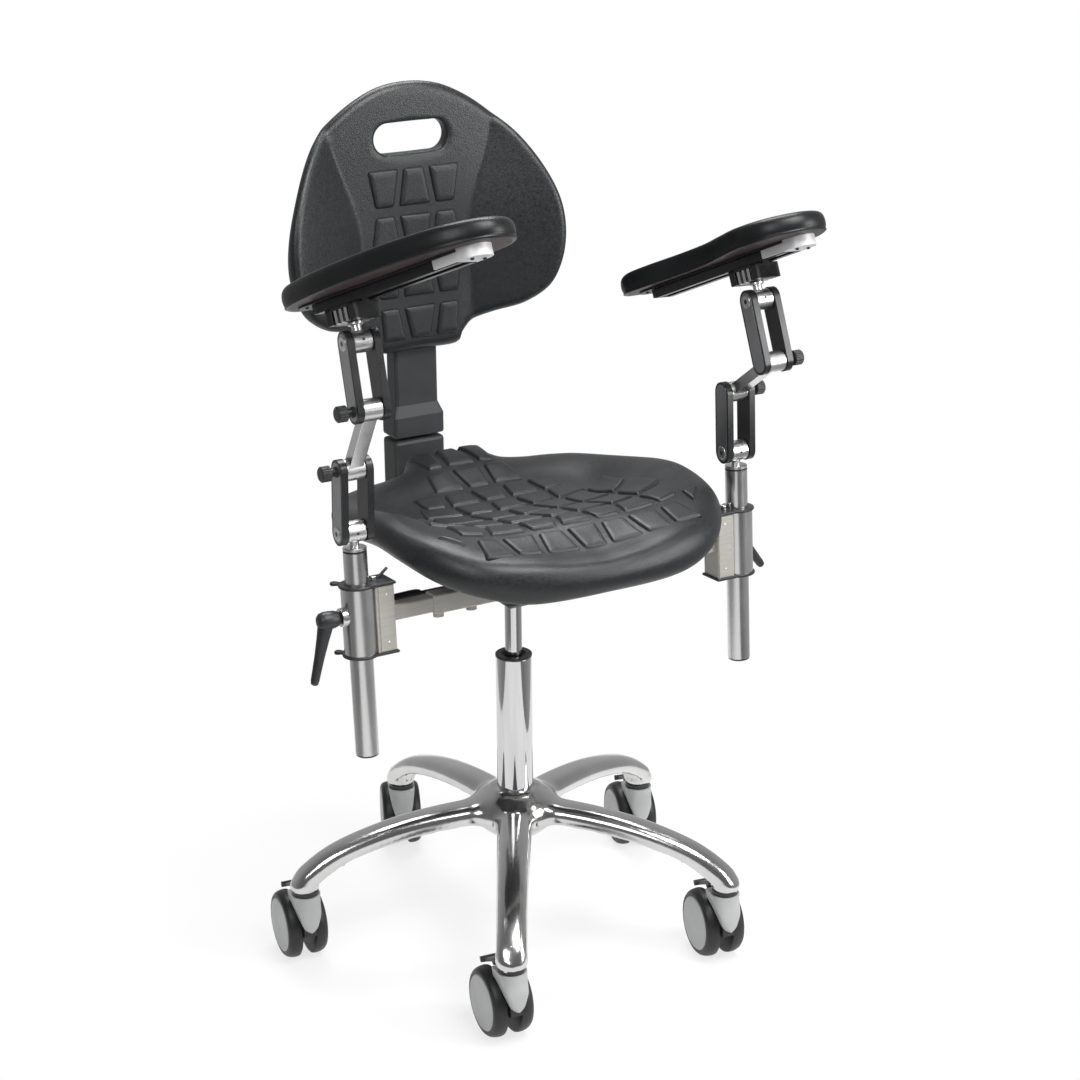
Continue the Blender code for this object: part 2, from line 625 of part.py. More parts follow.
def make_mechanism(lift, tilt, lever):
    """The housing stands on the gas cylinder; the seat plate rocks on its two side bosses."""
    base = -ROD_BOTTOM
    housing = box("mechanism_housing", (-HOUSING_HALF_WIDTH, -HOUSING_FRONT, HOUSING_BOTTOM + base),
                  (HOUSING_HALF_WIDTH, HOUSING_REAR, HOUSING_TOP + base))
    soften(housing, 0.005, 1)
    neck = lathe("neck", [(0.0, NECK_BOTTOM + base), (GAS_RADIUS + 0.006, NECK_BOTTOM + base),
                          (GAS_RADIUS + 0.016, HOUSING_BOTTOM + base + 0.003),
                          (0.0, HOUSING_BOTTOM + base + 0.003)], FINE)
    reach = HOUSING_HALF_WIDTH + GAP + SHEET + 0.002
    bosses = rod("bosses", PIVOT_RADIUS, -reach, reach)
    move(bosses, turn(90, "Y"), shift(z=TILT_HEIGHT + base))
    socket = rod("socket", GAS_RADIUS + GAP, NECK_BOTTOM + base - 0.01, GAS_TOP + base + GAP, FINE)
    lever_height = TILT_HEIGHT + base + LEVER_RISE
    lug = box("lug", (-HOUSING_HALF_WIDTH - 0.018, -LEVER_Y - 0.010, lever_height - 0.014),
              (-HOUSING_HALF_WIDTH + 0.004, -LEVER_Y - 0.006, lever_height + 0.004))
    pin = rod("pin", LEVER_PIN_RADIUS, -0.007, 0.007, COARSE)
    move(pin, turn(90, "X"), shift(-HOUSING_HALF_WIDTH - LEVER_OUT, -LEVER_Y - 0.001, lever_height))
    cut(union(housing, neck, bosses, lug, pin), socket)
    finish(housing, "painted steel", lift)

    # The lever's frame is on the lug's pin, and its rod reaches out along -X
    bore = LEVER_PIN_RADIUS + GAP
    eye = lathe("height_lever", [
        (bore, -LEVER_EYE_HALF), (LEVER_EYE_RADIUS, -LEVER_EYE_HALF),
        (LEVER_EYE_RADIUS, LEVER_EYE_HALF + GAP), (bore, LEVER_EYE_HALF + GAP)], COARSE, looped=True)
    move(eye, turn(90, "X"))
    stick = rod("stick", LEVER_EYE_RADIUS / 2, LEVER_EYE_HALF, LEVER_LENGTH - LEVER_GRIP / 2)
    start = LEVER_LENGTH - LEVER_GRIP
    grip = lathe("grip", [
        (0.0, start), (LEVER_EYE_RADIUS * 0.64, start), (LEVER_EYE_RADIUS, start + LEVER_GRIP * 0.15),
        (LEVER_EYE_RADIUS * 0.93, LEVER_LENGTH - LEVER_GRIP * 0.08),
        (LEVER_EYE_RADIUS * 0.57, LEVER_LENGTH), (0.0, LEVER_LENGTH)], COARSE)
    union(eye, move(union(stick, grip), turn(-90, "Y"), turn(-LEVER_DROOP, "Y")))
    finish(eye, "black plastic", lever)

    cheek_in = HOUSING_HALF_WIDTH + GAP
    plate = box("seat_plate", (-PLATE_HALF_WIDTH, -PLATE_HALF_DEPTH, PLATE_HEIGHT),
                (PLATE_HALF_WIDTH, PLATE_HALF_DEPTH, PLATE_HEIGHT + SHEET))
    hinge_hole = rod("hinge hole", PIN_RADIUS + GAP, -PLATE_HALF_WIDTH, PLATE_HALF_WIDTH)
    move(hinge_hole, turn(90, "Y"), shift(y=BACK_HINGE_Y))
    pivot_hole = rod("pivot hole", PIVOT_RADIUS + GAP, -PLATE_HALF_WIDTH, PLATE_HALF_WIDTH)
    move(pivot_hole, turn(90, "Y"))
    for side in (-1, 1):
        near = side * cheek_in
        far = side * (cheek_in + SHEET)
        outline = [(-CHEEK_FRONT, PLATE_HEIGHT + SHEET / 2), (-CHEEK_FRONT, -CHEEK_DROP * 0.4),
                   (-CHEEK_FRONT * 0.4, -CHEEK_DROP), (BACK_HINGE_Y * 0.8, -CHEEK_DROP),
                   (BACK_HINGE_Y + 0.014, -CHEEK_DROP * 0.6),
                   (BACK_HINGE_Y + 0.016, PLATE_HEIGHT + SHEET / 2)]
        cheek = loft("cheek", [[Vector((x, y, z)) for y, z in outline] for x in (near, far)])
        union(plate, cheek)
    cut(plate, pivot_hole, hinge_hole)
    finish(plate, "painted steel", tilt)


def seat_y(share):
    """Place at a share of the seat's depth from its front edge."""
    return SEAT_FRONT_Y + share * (SEAT_REAR_Y - SEAT_FRONT_Y)


def seat_outline():
    """Half outline of the seat from the front's middle to the tongue at the rear, mirrored."""
    w, t = SEAT_HALF_WIDTH, TONGUE_HALF_WIDTH
    half = [(0.0, 0.0), (0.42 * w, 0.017), (0.70 * w, 0.065), (0.89 * w, 0.163), (0.985 * w, 0.293),
            (w, 0.439), (0.985 * w, 0.596), (0.92 * w, 0.743), (0.77 * w, 0.862), (0.50 * w, 0.908),
            (1.28 * t, 0.937), (t, 0.979), (0.8 * t, 1.0), (0.0, 1.0)]
    points = half + [(-x, share) for x, share in reversed(half[1:-1])]
    return curve_through([(x, seat_y(share), 0.0) for x, share in points], True, 2)


def seat_top(x, y, share):
    """Height of the seat's upper face over the seat plate, hollow beside the tongue inside the rim."""
    depth = SEAT_REAR_Y - SEAT_FRONT_Y
    centre = height_along([
        (seat_y(0.0), SEAT_FRONT_RISE), (seat_y(0.293), SEAT_FRONT_RISE * 0.5), (seat_y(0.544), 0.0),
        (seat_y(0.690), SEAT_REAR_RISE * 0.136), (seat_y(1.0), SEAT_REAR_RISE)], y)
    rear = smooth((y - seat_y(0.628)) / (0.25 * depth))
    off = abs(x) / SEAT_HALF_WIDTH
    side = smooth((abs(x) - 0.8 * TONGUE_HALF_WIDTH) / TONGUE_HALF_WIDTH)
    inside = 1.0 - smooth((share - 0.66) / 0.24)
    height = centre - rear * side * SEAT_HOLLOW * inside
    height += SEAT_RIM_RISE * smooth((off - 0.54) / 0.42)
    height += SEAT_REAR_RIM * smooth((y - seat_y(0.523)) / (0.21 * depth)) * side * (1.0 - inside)
    height -= SEAT_THIGH_DIP * (1.0 - rear) * math.exp(-((off - 0.5) / 0.21) ** 2)
    return SEAT_DIP + height


def make_seat(tilt):
    outline = seat_outline()
    centre = Vector((0.0, SEAT_CENTRE_Y, 0.0))
    rings = [[centre + Vector((0, 0, SEAT_BOTTOM + seat_top(0.0, SEAT_CENTRE_Y, 0.0)))]]
    # Share of the way out and fall below the upper face as a part of the edge's height
    for share, fall in ((0.22, 0.0), (0.44, 0.0), (0.64, 0.0), (0.80, 0.0), (0.90, 0.03), (0.96, 0.13),
                        (0.99, 0.29), (1.0, 0.48), (0.985, 0.70), (0.94, 0.90)):
        ring = []
        for p in outline:
            q = centre + share * (p - centre)
            rim = centre + min(share, 0.9) * (p - centre)
            to_side = smooth((abs(p.x) / SEAT_HALF_WIDTH - 0.333) / 0.5)
            edge = SEAT_EDGE + (SEAT_SIDE_EDGE - SEAT_EDGE) * to_side
            top = seat_top(rim.x, rim.y, min(share, 0.9))
            ring.append(Vector((q.x, q.y, SEAT_BOTTOM + max(-SEAT_LIP, top - fall * edge))))
        rings.append(ring)
    # Underside, flat where it rests on the plate
    edge_ring = rings[-1]
    for share, lift in ((0.82, 0.65), (0.62, 0.0)):
        ring = []
        for p, low in zip(outline, edge_ring):
            q = centre + share * (p - centre)
            ring.append(Vector((q.x, q.y, SEAT_BOTTOM + lift * (low.z - SEAT_BOTTOM))))
        rings.append(ring)
    rings.append([centre + Vector((0, 0, SEAT_BOTTOM))])
    finish(loft("seat_cushion", rings), "moulded foam", tilt, sharp=60.0)


# Back: heights and depths below are over the floor and behind the column axis at rest


def back_outline():
    """Half outline of the shield from the top's middle to the lower edge, mirrored."""
    w, h = BACK_HALF_WIDTH, BACK_HEIGHT
    half = [(0.0, 1.0), (0.21, 0.985), (0.41, 0.935), (0.60, 0.86), (0.75, 0.78), (0.88, 0.665),
            (0.97, 0.54), (1.0, 0.42), (0.975, 0.31), (0.89, 0.21), (0.73, 0.145), (0.54, 0.112),
            (0.41, 0.082), (0.33, 0.040), (0.275, 0.0), (0.0, 0.0)]
    points = half + [(-x, z) for x, z in reversed(half[1:-1])]
    return curve_through([(x * w, 0.0, z * h) for x, z in points], True, 2)


def back_face(x, z):
    """Depth of the back's front face: a flat panel between wings that come forward."""
    up = smooth((z / BACK_HEIGHT - 0.27) / 0.6)
    panel = BACK_PANEL_HALF_WIDTH + (BACK_PANEL_TOP - BACK_PANEL_HALF_WIDTH) * up
    wing = max(0.0, abs(x) - panel) / (BACK_HALF_WIDTH - BACK_PANEL_HALF_WIDTH)
    return BACK_FRONT + z * math.tan(math.radians(BACK_LEAN)) - BACK_WING_REACH * wing ** 1.6


def back_thickness(z):
    up = smooth((z - BACK_POCKET) / (0.33 * BACK_HEIGHT))
    return BACK_THICKNESS + (BACK_TOP_THICKNESS - BACK_THICKNESS) * up


def make_back(hinge, slide, origin, slide_origin):
    """The bar bends up from its hinge behind the seat; the sleeve with the cushion runs on it."""
    bar_y = UPRIGHT_FRONT + UPRIGHT_DEPTH / 2 - origin.y
    bar_top = BACK_BOTTOM + BACK_POCKET * 0.5 - origin.z
    half = BAR_THICKNESS / 2
    path = [(0.0, 0.0)]
    for i in range(7):
        t = math.pi / 2 * i / 6
        path.append((bar_y - BAR_BEND + BAR_BEND * math.sin(t), BAR_BEND - BAR_BEND * math.cos(t)))
    path.append((bar_y, bar_top))
    rings = []
    corners = ((-1, -1), (1, -1), (1, 1), (-1, 1))
    for i, (y, z) in enumerate(path):
        before = Vector(path[max(0, i - 1)])
        after = Vector(path[min(len(path) - 1, i + 1)])
        along = (after - before).normalized()
        normal = Vector((-along.y, along.x)) * half
        rings.append([Vector((sx * BAR_HALF_WIDTH, y + s * normal.x, z + s * normal.y))
                      for sx, s in corners])
    bar = loft("back_bar", rings)
    reach = HOUSING_HALF_WIDTH + GAP
    knuckle = rod("knuckle", 0.010, -reach + GAP, reach - GAP)
    pin = rod("pin", PIN_RADIUS, -reach - SHEET - 0.001, reach + SHEET + 0.001)
    union(bar, move(knuckle, turn(90, "Y")), move(pin, turn(90, "Y")))
    finish(bar, "painted steel", hinge)

    slot_x = BAR_HALF_WIDTH + GAP
    slot_y = half + GAP
    wide = UPRIGHT_HALF_WIDTH + FLARE
    deep = UPRIGHT_DEPTH / 2 + FLARE
    top = SOCKET_TOP - origin.z
    cover = box("back_socket", (-wide, bar_y - deep, top - COVER_HEIGHT), (wide, bar_y + deep, top))
    soften(cover, 0.005)
    slot = box("slot", (-slot_x, bar_y - slot_y, top - COVER_HEIGHT - 0.01),
               (slot_x, bar_y + slot_y, top + 0.01))
    finish(cut(cover, slot), "black plastic", hinge)

    # The sleeve and the cushion hang on the slide's frame
    bar_y = UPRIGHT_FRONT + UPRIGHT_DEPTH / 2 - slide_origin.y
    low = SOCKET_TOP + 0.004 - slide_origin.z
    high = BACK_BOTTOM + BACK_POCKET - slide_origin.z
    depth = UPRIGHT_DEPTH / 2
    rings = []
    waist = low + FLARE_HEIGHT
    for z, x, y in ((low, wide, deep), (waist, wide, deep),
                    (waist + FLARE_HEIGHT * 0.53, UPRIGHT_HALF_WIDTH, depth),
                    (high, UPRIGHT_HALF_WIDTH, depth)):
        rings.append([Vector((sx * x, bar_y + sy * y, z)) for sx, sy in corners])
    sleeve = loft("back_sleeve", rings)
    soften(sleeve, 0.004)
    slot = box("slot", (-slot_x, bar_y - slot_y, low - 0.01), (slot_x, bar_y + slot_y, high - 0.008))
    finish(cut(sleeve, slot), "black plastic", slide)

    base = Vector((0.0, -slide_origin.y, BACK_BOTTOM - slide_origin.z))
    outline = back_outline()
    middle = Vector((0.0, 0.0, BACK_HEIGHT * 0.45))
    rings = [[Vector((0.0, back_face(0.0, middle.z), middle.z)) + base]]
    # Share of the way out and of the thickness, over the front, the rim and the rear
    for share, deep in ((0.30, 0.0), (0.55, 0.0), (0.76, 0.0), (0.90, 0.0), (0.965, 0.05), (1.0, 0.33),
                        (0.995, 0.63), (0.95, 0.85), (0.76, 0.95), (0.40, 1.0)):
        ring = []
        for p in outline:
            q = middle + share * (p - middle)
            ring.append(Vector((q.x, back_face(q.x, q.z) + deep * back_thickness(q.z), q.z)) + base)
        rings.append(ring)
    rings.append([Vector((0.0, back_face(0.0, middle.z) + back_thickness(middle.z), middle.z)) + base])
    cushion = loft("back_cushion", rings)
    straight = HAND_HOLE_WIDTH - HAND_HOLE_HEIGHT
    hole = prism("hand hole", stadium(HAND_HOLE_HEIGHT / 2, straight, start=-straight / 2), -0.1, 0.1)
    move(hole, turn(90, "Z"), turn(90, "X"), shift(y=base.y + BACK_FRONT, z=base.z + HAND_HOLE_UP))
    pocket_x = UPRIGHT_HALF_WIDTH + GAP
    pocket = box("pocket", (-pocket_x, bar_y - depth - GAP, low),
                 (pocket_x, bar_y + depth + 0.1, high + GAP))
    finish(cut(cushion, hole, pocket), "moulded foam", slide, sharp=60.0)


# Arms: the cross beam is under the seat, each arm telescopes out of it


def square_tube(name, size, wall, start, end):
    outer, inner = size / 2, size / 2 - wall
    start, end = sorted((start, end))
    tube = box(name, (start, -outer, -outer), (end, outer, outer))
    soften(tube, 0.0015, 1)
    return cut(tube, box("hollow", (start - 0.01, -inner, -inner), (end + 0.01, inner, inner)))


def make_cross_beam(tilt):
    beam = square_tube("cross_tube", BEAM_SIZE, BEAM_WALL, -BEAM_HALF_LENGTH, BEAM_HALF_LENGTH)
    for x in BEAM_SCREWS:
        for side in (-1, 1):
            boss = rod("boss", 0.007, -BEAM_SIZE / 2 - 0.007, -BEAM_SIZE / 2 + BEAM_WALL / 2, COARSE)
            union(beam, move(boss, shift(x=side * x)))
    move(beam, shift(y=ARM_Y, z=BEAM_HEIGHT))
    finish(beam, "painted steel", tilt)


def clamp_outline(grow):
    """Plan of the clamp: a barrel round the mast and a block towards the seat along +X."""
    radius = CLAMP_RADIUS + grow
    half = CLAMP_BLOCK_DEPTH / 2 + grow
    end = CLAMP_RADIUS + CLAMP_BLOCK_WIDTH + grow
    start = math.asin(half / radius)
    sweep = math.tau - 2 * start
    turns = [start + sweep * i / 18 for i in range(19)]
    arc = [(radius * math.cos(t), radius * math.sin(t)) for t in turns]
    return arc + [(end, -half), (end, half)]


def make_clamp(name, side, width, lever_heading):
    """The clamp's frame is on the mast's axis at the clamp's top; +X runs towards the seat."""
    low = -CLAMP_HEIGHT
    body = prism(name, clamp_outline(0.0), low + CAP_HEIGHT / 2, -CAP_HEIGHT / 2)
    for bottom in (low, -CAP_HEIGHT):
        union(body, prism("cap", clamp_outline(CAP_OVERHANG), bottom, bottom + CAP_HEIGHT))
    boss = rod("boss", BOSS_RADIUS, MAST_RADIUS + 0.002, CLAMP_RADIUS + BOSS_LENGTH)
    aim = turn(-lever_heading, "Z") @ shift(z=-LEVER_DROP) @ turn(-90, "Y")
    union(body, move(boss, aim))
    bore = rod("bore", MAST_RADIUS + GAP, low - 0.01, 0.01, FINE)
    middle = BEAM_HEIGHT - CLAMP_TOP
    inner = INNER_BEAM_SIZE / 2 + GAP
    seat = box("beam seat", (CLAMP_RADIUS + CLAMP_BLOCK_WIDTH - BEAM_SEAT, -inner, middle - inner),
               (CLAMP_RADIUS + CLAMP_BLOCK_WIDTH + 0.02, inner, middle + inner))
    screw = rod("screw bore", HANDLE_SCREW_RADIUS + GAP, 0.0, CLAMP_RADIUS + 2 * BOSS_LENGTH, COARSE)
    cut(body, bore, seat, move(screw, aim))
    if side > 0:
        move(body, Matrix.Scale(-1, 4, (1, 0, 0)))
    finish(body, "anodised", width)


def make_clamp_lever(name, side, parent):
    """The frame is on the clamping screw at the boss's face; the hub stands out, the handle hangs."""
    tip = CLAMP_RADIUS + BOSS_LENGTH - MAST_RADIUS - 2 * GAP
    end = GAP + HANDLE_HUB_LENGTH
    lever = lathe(name, [
        (0.0, -tip), (HANDLE_SCREW_RADIUS, -tip), (HANDLE_SCREW_RADIUS, GAP),
        (HANDLE_HUB_RADIUS * 0.75, GAP), (HANDLE_HUB_RADIUS, GAP + 0.006),
        (HANDLE_HUB_RADIUS, end - 0.005), (HANDLE_HUB_RADIUS * 0.7, end), (0.0, end)], COARSE)
    move(lever, turn(-90, "Y"))
    rings = [circle(radius, -HANDLE_LENGTH * share, 12) for share, radius in (
        (0.0, 0.0085), (0.25, 0.0070), (0.7, 0.0052), (0.95, 0.0048), (1.0, 0.0030))]
    handle = move(loft("handle", rings), turn(HANDLE_SLANT, "Y"), shift(x=-HANDLE_HUB_LENGTH * 0.6))
    union(lever, handle)
    if side > 0:
        move(lever, Matrix.Scale(-1, 4, (1, 0, 0)))
    finish(lever, "black plastic", parent)


def make_eye(name, flange):
    """Barrel lug across X with its stem down -Z to a stud."""
    barrel = lathe(name, [
        (PIN_RADIUS + GAP, -EYE_HALF_LENGTH), (EYE_RADIUS, -EYE_HALF_LENGTH),
        (EYE_RADIUS, EYE_HALF_LENGTH), (PIN_RADIUS + GAP, EYE_HALF_LENGTH)], COARSE + 4, looped=True)
    move(barrel, turn(90, "Y"))
    foot = -EYE_RISE + GAP
    profile = [(0.0, -EYE_RISE - STUD_LENGTH), (STUD_RADIUS, -EYE_RISE - STUD_LENGTH), (STUD_RADIUS, foot)]
    if flange:
        profile += [(FLANGE_RADIUS, foot), (FLANGE_RADIUS, foot + FLANGE_HEIGHT)]
    else:
        profile += [(STUD_RADIUS + 0.003, foot), (STUD_RADIUS + 0.003, foot + FLANGE_HEIGHT)]
    end = -EYE_RADIUS * 0.75
    profile += [(STUD_RADIUS, foot + FLANGE_HEIGHT), (STUD_RADIUS, end), (0.0, end)]
    return union(barrel, lathe("stem", profile, COARSE))


def make_mast(name, parent):
    """The frame is at the mast's top."""
    mast = lathe(name, [
        (0.0, -STUD_LENGTH - 2 * GAP), (STUD_RADIUS + GAP, -STUD_LENGTH - 2 * GAP), (STUD_RADIUS + GAP, 0.0),
        (MAST_RADIUS - 0.001, 0.0), (MAST_RADIUS, -0.001), (MAST_RADIUS, -MAST_LENGTH + 0.003),
        (MAST_RADIUS - 0.0008, -MAST_LENGTH + 0.0025), (MAST_RADIUS - 0.002, -MAST_LENGTH),
        (0.0, -MAST_LENGTH)], FINE)
    finish(mast, "satin aluminium", parent)


def make_bracket(name, parent):
    """Two straps on an eye's pin; the frame is on the pin and the straps run to the knob."""
    inner = EYE_HALF_LENGTH + GAP
    outer = inner + STRAP_THICKNESS
    pin = rod(name, PIN_RADIUS, -outer, outer)
    pieces = []
    for side in (-1, 1):
        near, far = sorted((side * inner, side * outer))
        strap = prism("strap", stadium(STRAP_HALF_WIDTH, BRACKET_REACH), near, far)
        hole = rod("hole", SCREW_RADIUS + GAP, near - 0.01, far + 0.01)
        cut(strap, move(hole, shift(y=BRACKET_REACH)))
        head = sorted((side * (outer - 0.002), side * (outer + PIN_HEAD_HEIGHT)))
        pieces += [strap, rod("head", PIN_HEAD_RADIUS, *head)]
    union(pin, *pieces)
    # Drawn along +Y with the pin along Z, it stands along +Z with the pin along X
    move(pin, turn(90, "X"), turn(90, "Z"))
    finish(pin, "black plastic", parent)


def make_link(name, parent):
    """Dogbone between the two knobs' screws; the frame is on the lower one, +Z along the link."""
    ends = []
    for height in (0.0, LINK_REACH):
        barrel = rod(name, EYE_RADIUS, -EYE_HALF_LENGTH, EYE_HALF_LENGTH, COARSE + 4)
        ends.append(move(barrel, turn(90, "Y"), shift(z=height)))
    bar = box("bar", (-LINK_BAR_HALF_WIDTH, -LINK_BAR_HALF_DEPTH, 0.0),
              (LINK_BAR_HALF_WIDTH, LINK_BAR_HALF_DEPTH, LINK_REACH))
    link = union(ends[0], bar, ends[1])
    for height in (0.0, LINK_REACH):
        bore = rod("bore", SCREW_RADIUS + GAP, -0.03, 0.03)
        cut(link, move(bore, turn(90, "Y"), shift(z=height)))
    finish(link, "satin aluminium", parent)


def make_knob(name, side, parent):
    """Knurled head outside the straps on a screw through them; the frame is on the screw."""
    face = EYE_HALF_LENGTH + 2 * GAP + STRAP_THICKNESS
    screw = rod(name, SCREW_RADIUS, -face, face + 0.004, COARSE)
    collar = rod("collar", KNOB_RADIUS * 0.6, face, face + KNOB_COLLAR + 0.001)
    outline = []
    for i in range(KNURLS * 2):
        t = math.pi * i / KNURLS
        radius = KNOB_RADIUS - KNURL_DEPTH * (i % 2)
        outline.append((radius * math.cos(t), radius * math.sin(t)))
    head = prism("head", outline, face + KNOB_COLLAR, face + KNOB_COLLAR + KNOB_LENGTH)
    union(screw, collar, head)
    move(screw, turn(90 * side, "Y"))
    finish(screw, "black plastic", parent)


def make_carrier(name, parent):
    """Ribbed block on the pad's eye, with a T-head in the rail; the frame is at its foot."""
    half_x, half_y = CARRIER_WIDTH / 2, CARRIER_LENGTH / 2
    block = box(name, (-half_x, -half_y, 0.0), (half_x, half_y, CARRIER_HEIGHT))
    pitch = CARRIER_LENGTH / CARRIER_RIBS
    for i in range(1, CARRIER_RIBS):
        y = -half_y + i * pitch
        for side in (-1, 1):
            groove = sorted((side * (half_x - 0.004), side * (half_x + 0.01)))
            cut(block, box("groove", (groove[0], y - 0.002, -0.01),
                           (groove[1], y + 0.002, CARRIER_HEIGHT - 0.004)))
    neck = RAIL_SLOT / 2 - GAP
    head = RAIL_WIDTH / 2 - RAIL_WALL - GAP
    foot = CARRIER_HEIGHT + 2 * GAP
    tee = box("tee", (-neck, -half_y, CARRIER_HEIGHT - 0.002),
              (neck, half_y, foot + RAIL_WALL + 0.002))
    bar = box("bar", (-head, -half_y, foot + RAIL_WALL + GAP),
              (head, half_y, foot + RAIL_HEIGHT - RAIL_WALL - GAP))
    bore = rod("bore", STUD_RADIUS + GAP, -0.01, STUD_LENGTH + GAP)
    cut(union(block, tee, bar), bore)
    finish(block, "black plastic", parent)


def make_pad_set(arm, parent, shift_along):
    """Rail, plate and pad; the frame is at the rail's foot, +X outwards, -Y to the front."""
    half, wall, slot = RAIL_WIDTH / 2, RAIL_WALL, RAIL_SLOT / 2
    roof = RAIL_HEIGHT - wall
    section = [(-half, 0.0), (-slot, 0.0), (-slot, wall), (-half + wall, wall), (-half + wall, roof),
               (half - wall, roof), (half - wall, wall), (slot, wall), (slot, 0.0), (half, 0.0),
               (half, RAIL_HEIGHT), (-half, RAIL_HEIGHT)]
    ends = (-RAIL_LENGTH / 2 - shift_along, RAIL_LENGTH / 2 - shift_along)
    rail = loft(f"{arm}_pad_rail", [[Vector((x, y, z)) for x, z in section] for y in ends])
    finish(rail, "black plastic", parent)
    low = RAIL_HEIGHT + GAP
    straight = PAD_PLATE_LENGTH - PAD_PLATE_WIDTH
    outline = stadium(PAD_PLATE_WIDTH / 2, straight, start=-straight / 2)
    plate = prism(f"{arm}_pad_plate", outline, low, low + PAD_PLATE_HEIGHT)
    finish(move(plate, shift(y=-shift_along)), "satin aluminium", parent)


def pad_outline(side):
    """Kidney outline: convex on the outer side, hollow on the inner side, with a broad front."""
    points = [(-0.061, -0.5), (0.227, -0.442), (0.379, -0.291), (0.455, -0.102), (0.470, 0.087),
              (0.424, 0.247), (0.318, 0.392), (0.076, 0.488), (-0.227, 0.488), (-0.470, 0.401),
              (-0.530, 0.276), (-0.424, 0.145), (-0.303, 0.015), (-0.273, -0.145), (-0.303, -0.320),
              (-0.265, -0.442)]
    return curve_through([(side * u * PAD_WIDTH, -v * PAD_LENGTH, 0.0) for u, v in points], True, 2)


def make_pad(arm, side, parent, shift_along):
    low = RAIL_HEIGHT + GAP + PAD_PLATE_HEIGHT + GAP
    outline = pad_outline(side)
    middle = Vector((0.03 * PAD_WIDTH * side, 0.0, 0.0))
    rings = [[middle + Vector((0, 0, low))]]
    # Share of the way out and of the height over the underside
    for share, height in ((0.60, 0.0), (0.955, 0.0), (0.99, 0.15), (1.0, 0.44), (0.985, 0.78),
                          (0.93, 0.97), (0.80, 0.993), (0.45, 1.0)):
        up = Vector((0, 0, low + height * PAD_HEIGHT))
        rings.append([middle + share * (p - middle) + up for p in outline])
    rings.append([middle + Vector((0, 0, low + PAD_HEIGHT))])
    pad = move(loft(f"{arm}_arm_pad", rings), shift(y=-shift_along))
    finish(pad, "moulded foam", parent, sharp=60.0)


def make_arm(arm, pose, tilt):
    side = pose["side"]
    width = joint_frame(f"{arm}_arm_width", tilt, (side * ARM_X, ARM_Y, CLAMP_TOP))
    inner = square_tube(f"{arm}_cross_arm", INNER_BEAM_SIZE, BEAM_WALL, side * INNER_BEAM_END,
                        side * (ARM_X - CLAMP_RADIUS - CLAMP_BLOCK_WIDTH + BEAM_SEAT - GAP))
    finish(move(inner, shift(x=-side * ARM_X, z=BEAM_HEIGHT - CLAMP_TOP)), "painted steel", width)
    make_clamp(f"{arm}_clamp", side, width, pose["lever_heading"])
    reach = side * (CLAMP_RADIUS + BOSS_LENGTH)
    heading = side * pose["lever_heading"]
    aim = math.radians(heading)
    screw_face = (reach * math.cos(aim), reach * math.sin(aim), -LEVER_DROP)
    lever = joint_frame(f"{arm}_clamp_lever_turn", width, screw_face, pose["lever_turn"], heading)
    make_clamp_lever(f"{arm}_clamp_lever", side, lever)
    height = joint_frame(f"{arm}_mast_height", width, (0.0, 0.0, pose["mast_out"]))
    make_mast(f"{arm}_mast", height)
    spin = joint_frame(f"{arm}_mast_turn", height, (0.0, 0.0, EYE_RISE))
    finish(make_eye(f"{arm}_mast_eye", True), "satin aluminium", spin)
    lean = REST_TILT + pose["lower"]
    lower = joint_frame(f"{arm}_lower_bracket_tilt", spin, tilt=lean)
    make_bracket(f"{arm}_lower_bracket", lower)
    knob_place = (0.0, 0.0, BRACKET_REACH)
    lower_knob = joint_frame(f"{arm}_lower_knob_turn", lower, knob_place)
    make_knob(f"{arm}_lower_knob", side, lower_knob)
    link = joint_frame(f"{arm}_link_tilt", lower, knob_place, pose["link"] - pose["lower"])
    make_link(f"{arm}_mid_link", link)
    # The upper bracket hangs its knob on the link's far end, so its frame is on that screw
    link_end = (0.0, 0.0, LINK_REACH)
    upper = joint_frame(f"{arm}_upper_bracket_tilt", link, link_end, pose["upper"] - pose["link"])
    upper_pin = joint_frame(f"{arm}_upper_bracket_pin", upper, knob_place, 180.0)
    make_bracket(f"{arm}_upper_bracket", upper_pin)
    upper_knob = joint_frame(f"{arm}_upper_knob_turn", upper)
    make_knob(f"{arm}_upper_knob", side, upper_knob)
    pad_tilt = joint_frame(f"{arm}_pad_tilt", upper, knob_place, -PAD_PITCH - pose["upper"])
    eye = make_eye(f"{arm}_pad_eye", False)
    finish(move(eye, turn(180, "X")), "satin aluminium", pad_tilt)
    pad_turn = joint_frame(f"{arm}_pad_turn", pad_tilt, (0.0, 0.0, EYE_RISE), heading=pose["yaw"])
    make_carrier(f"{arm}_pad_carrier", pad_turn)
    slide = joint_frame(f"{arm}_pad_slide", pad_turn, (0.0, 0.0, CARRIER_HEIGHT + 2 * GAP))
    make_pad_set(arm, slide, pose["shift"])
    make_pad(arm, side, slide, pose["shift"])


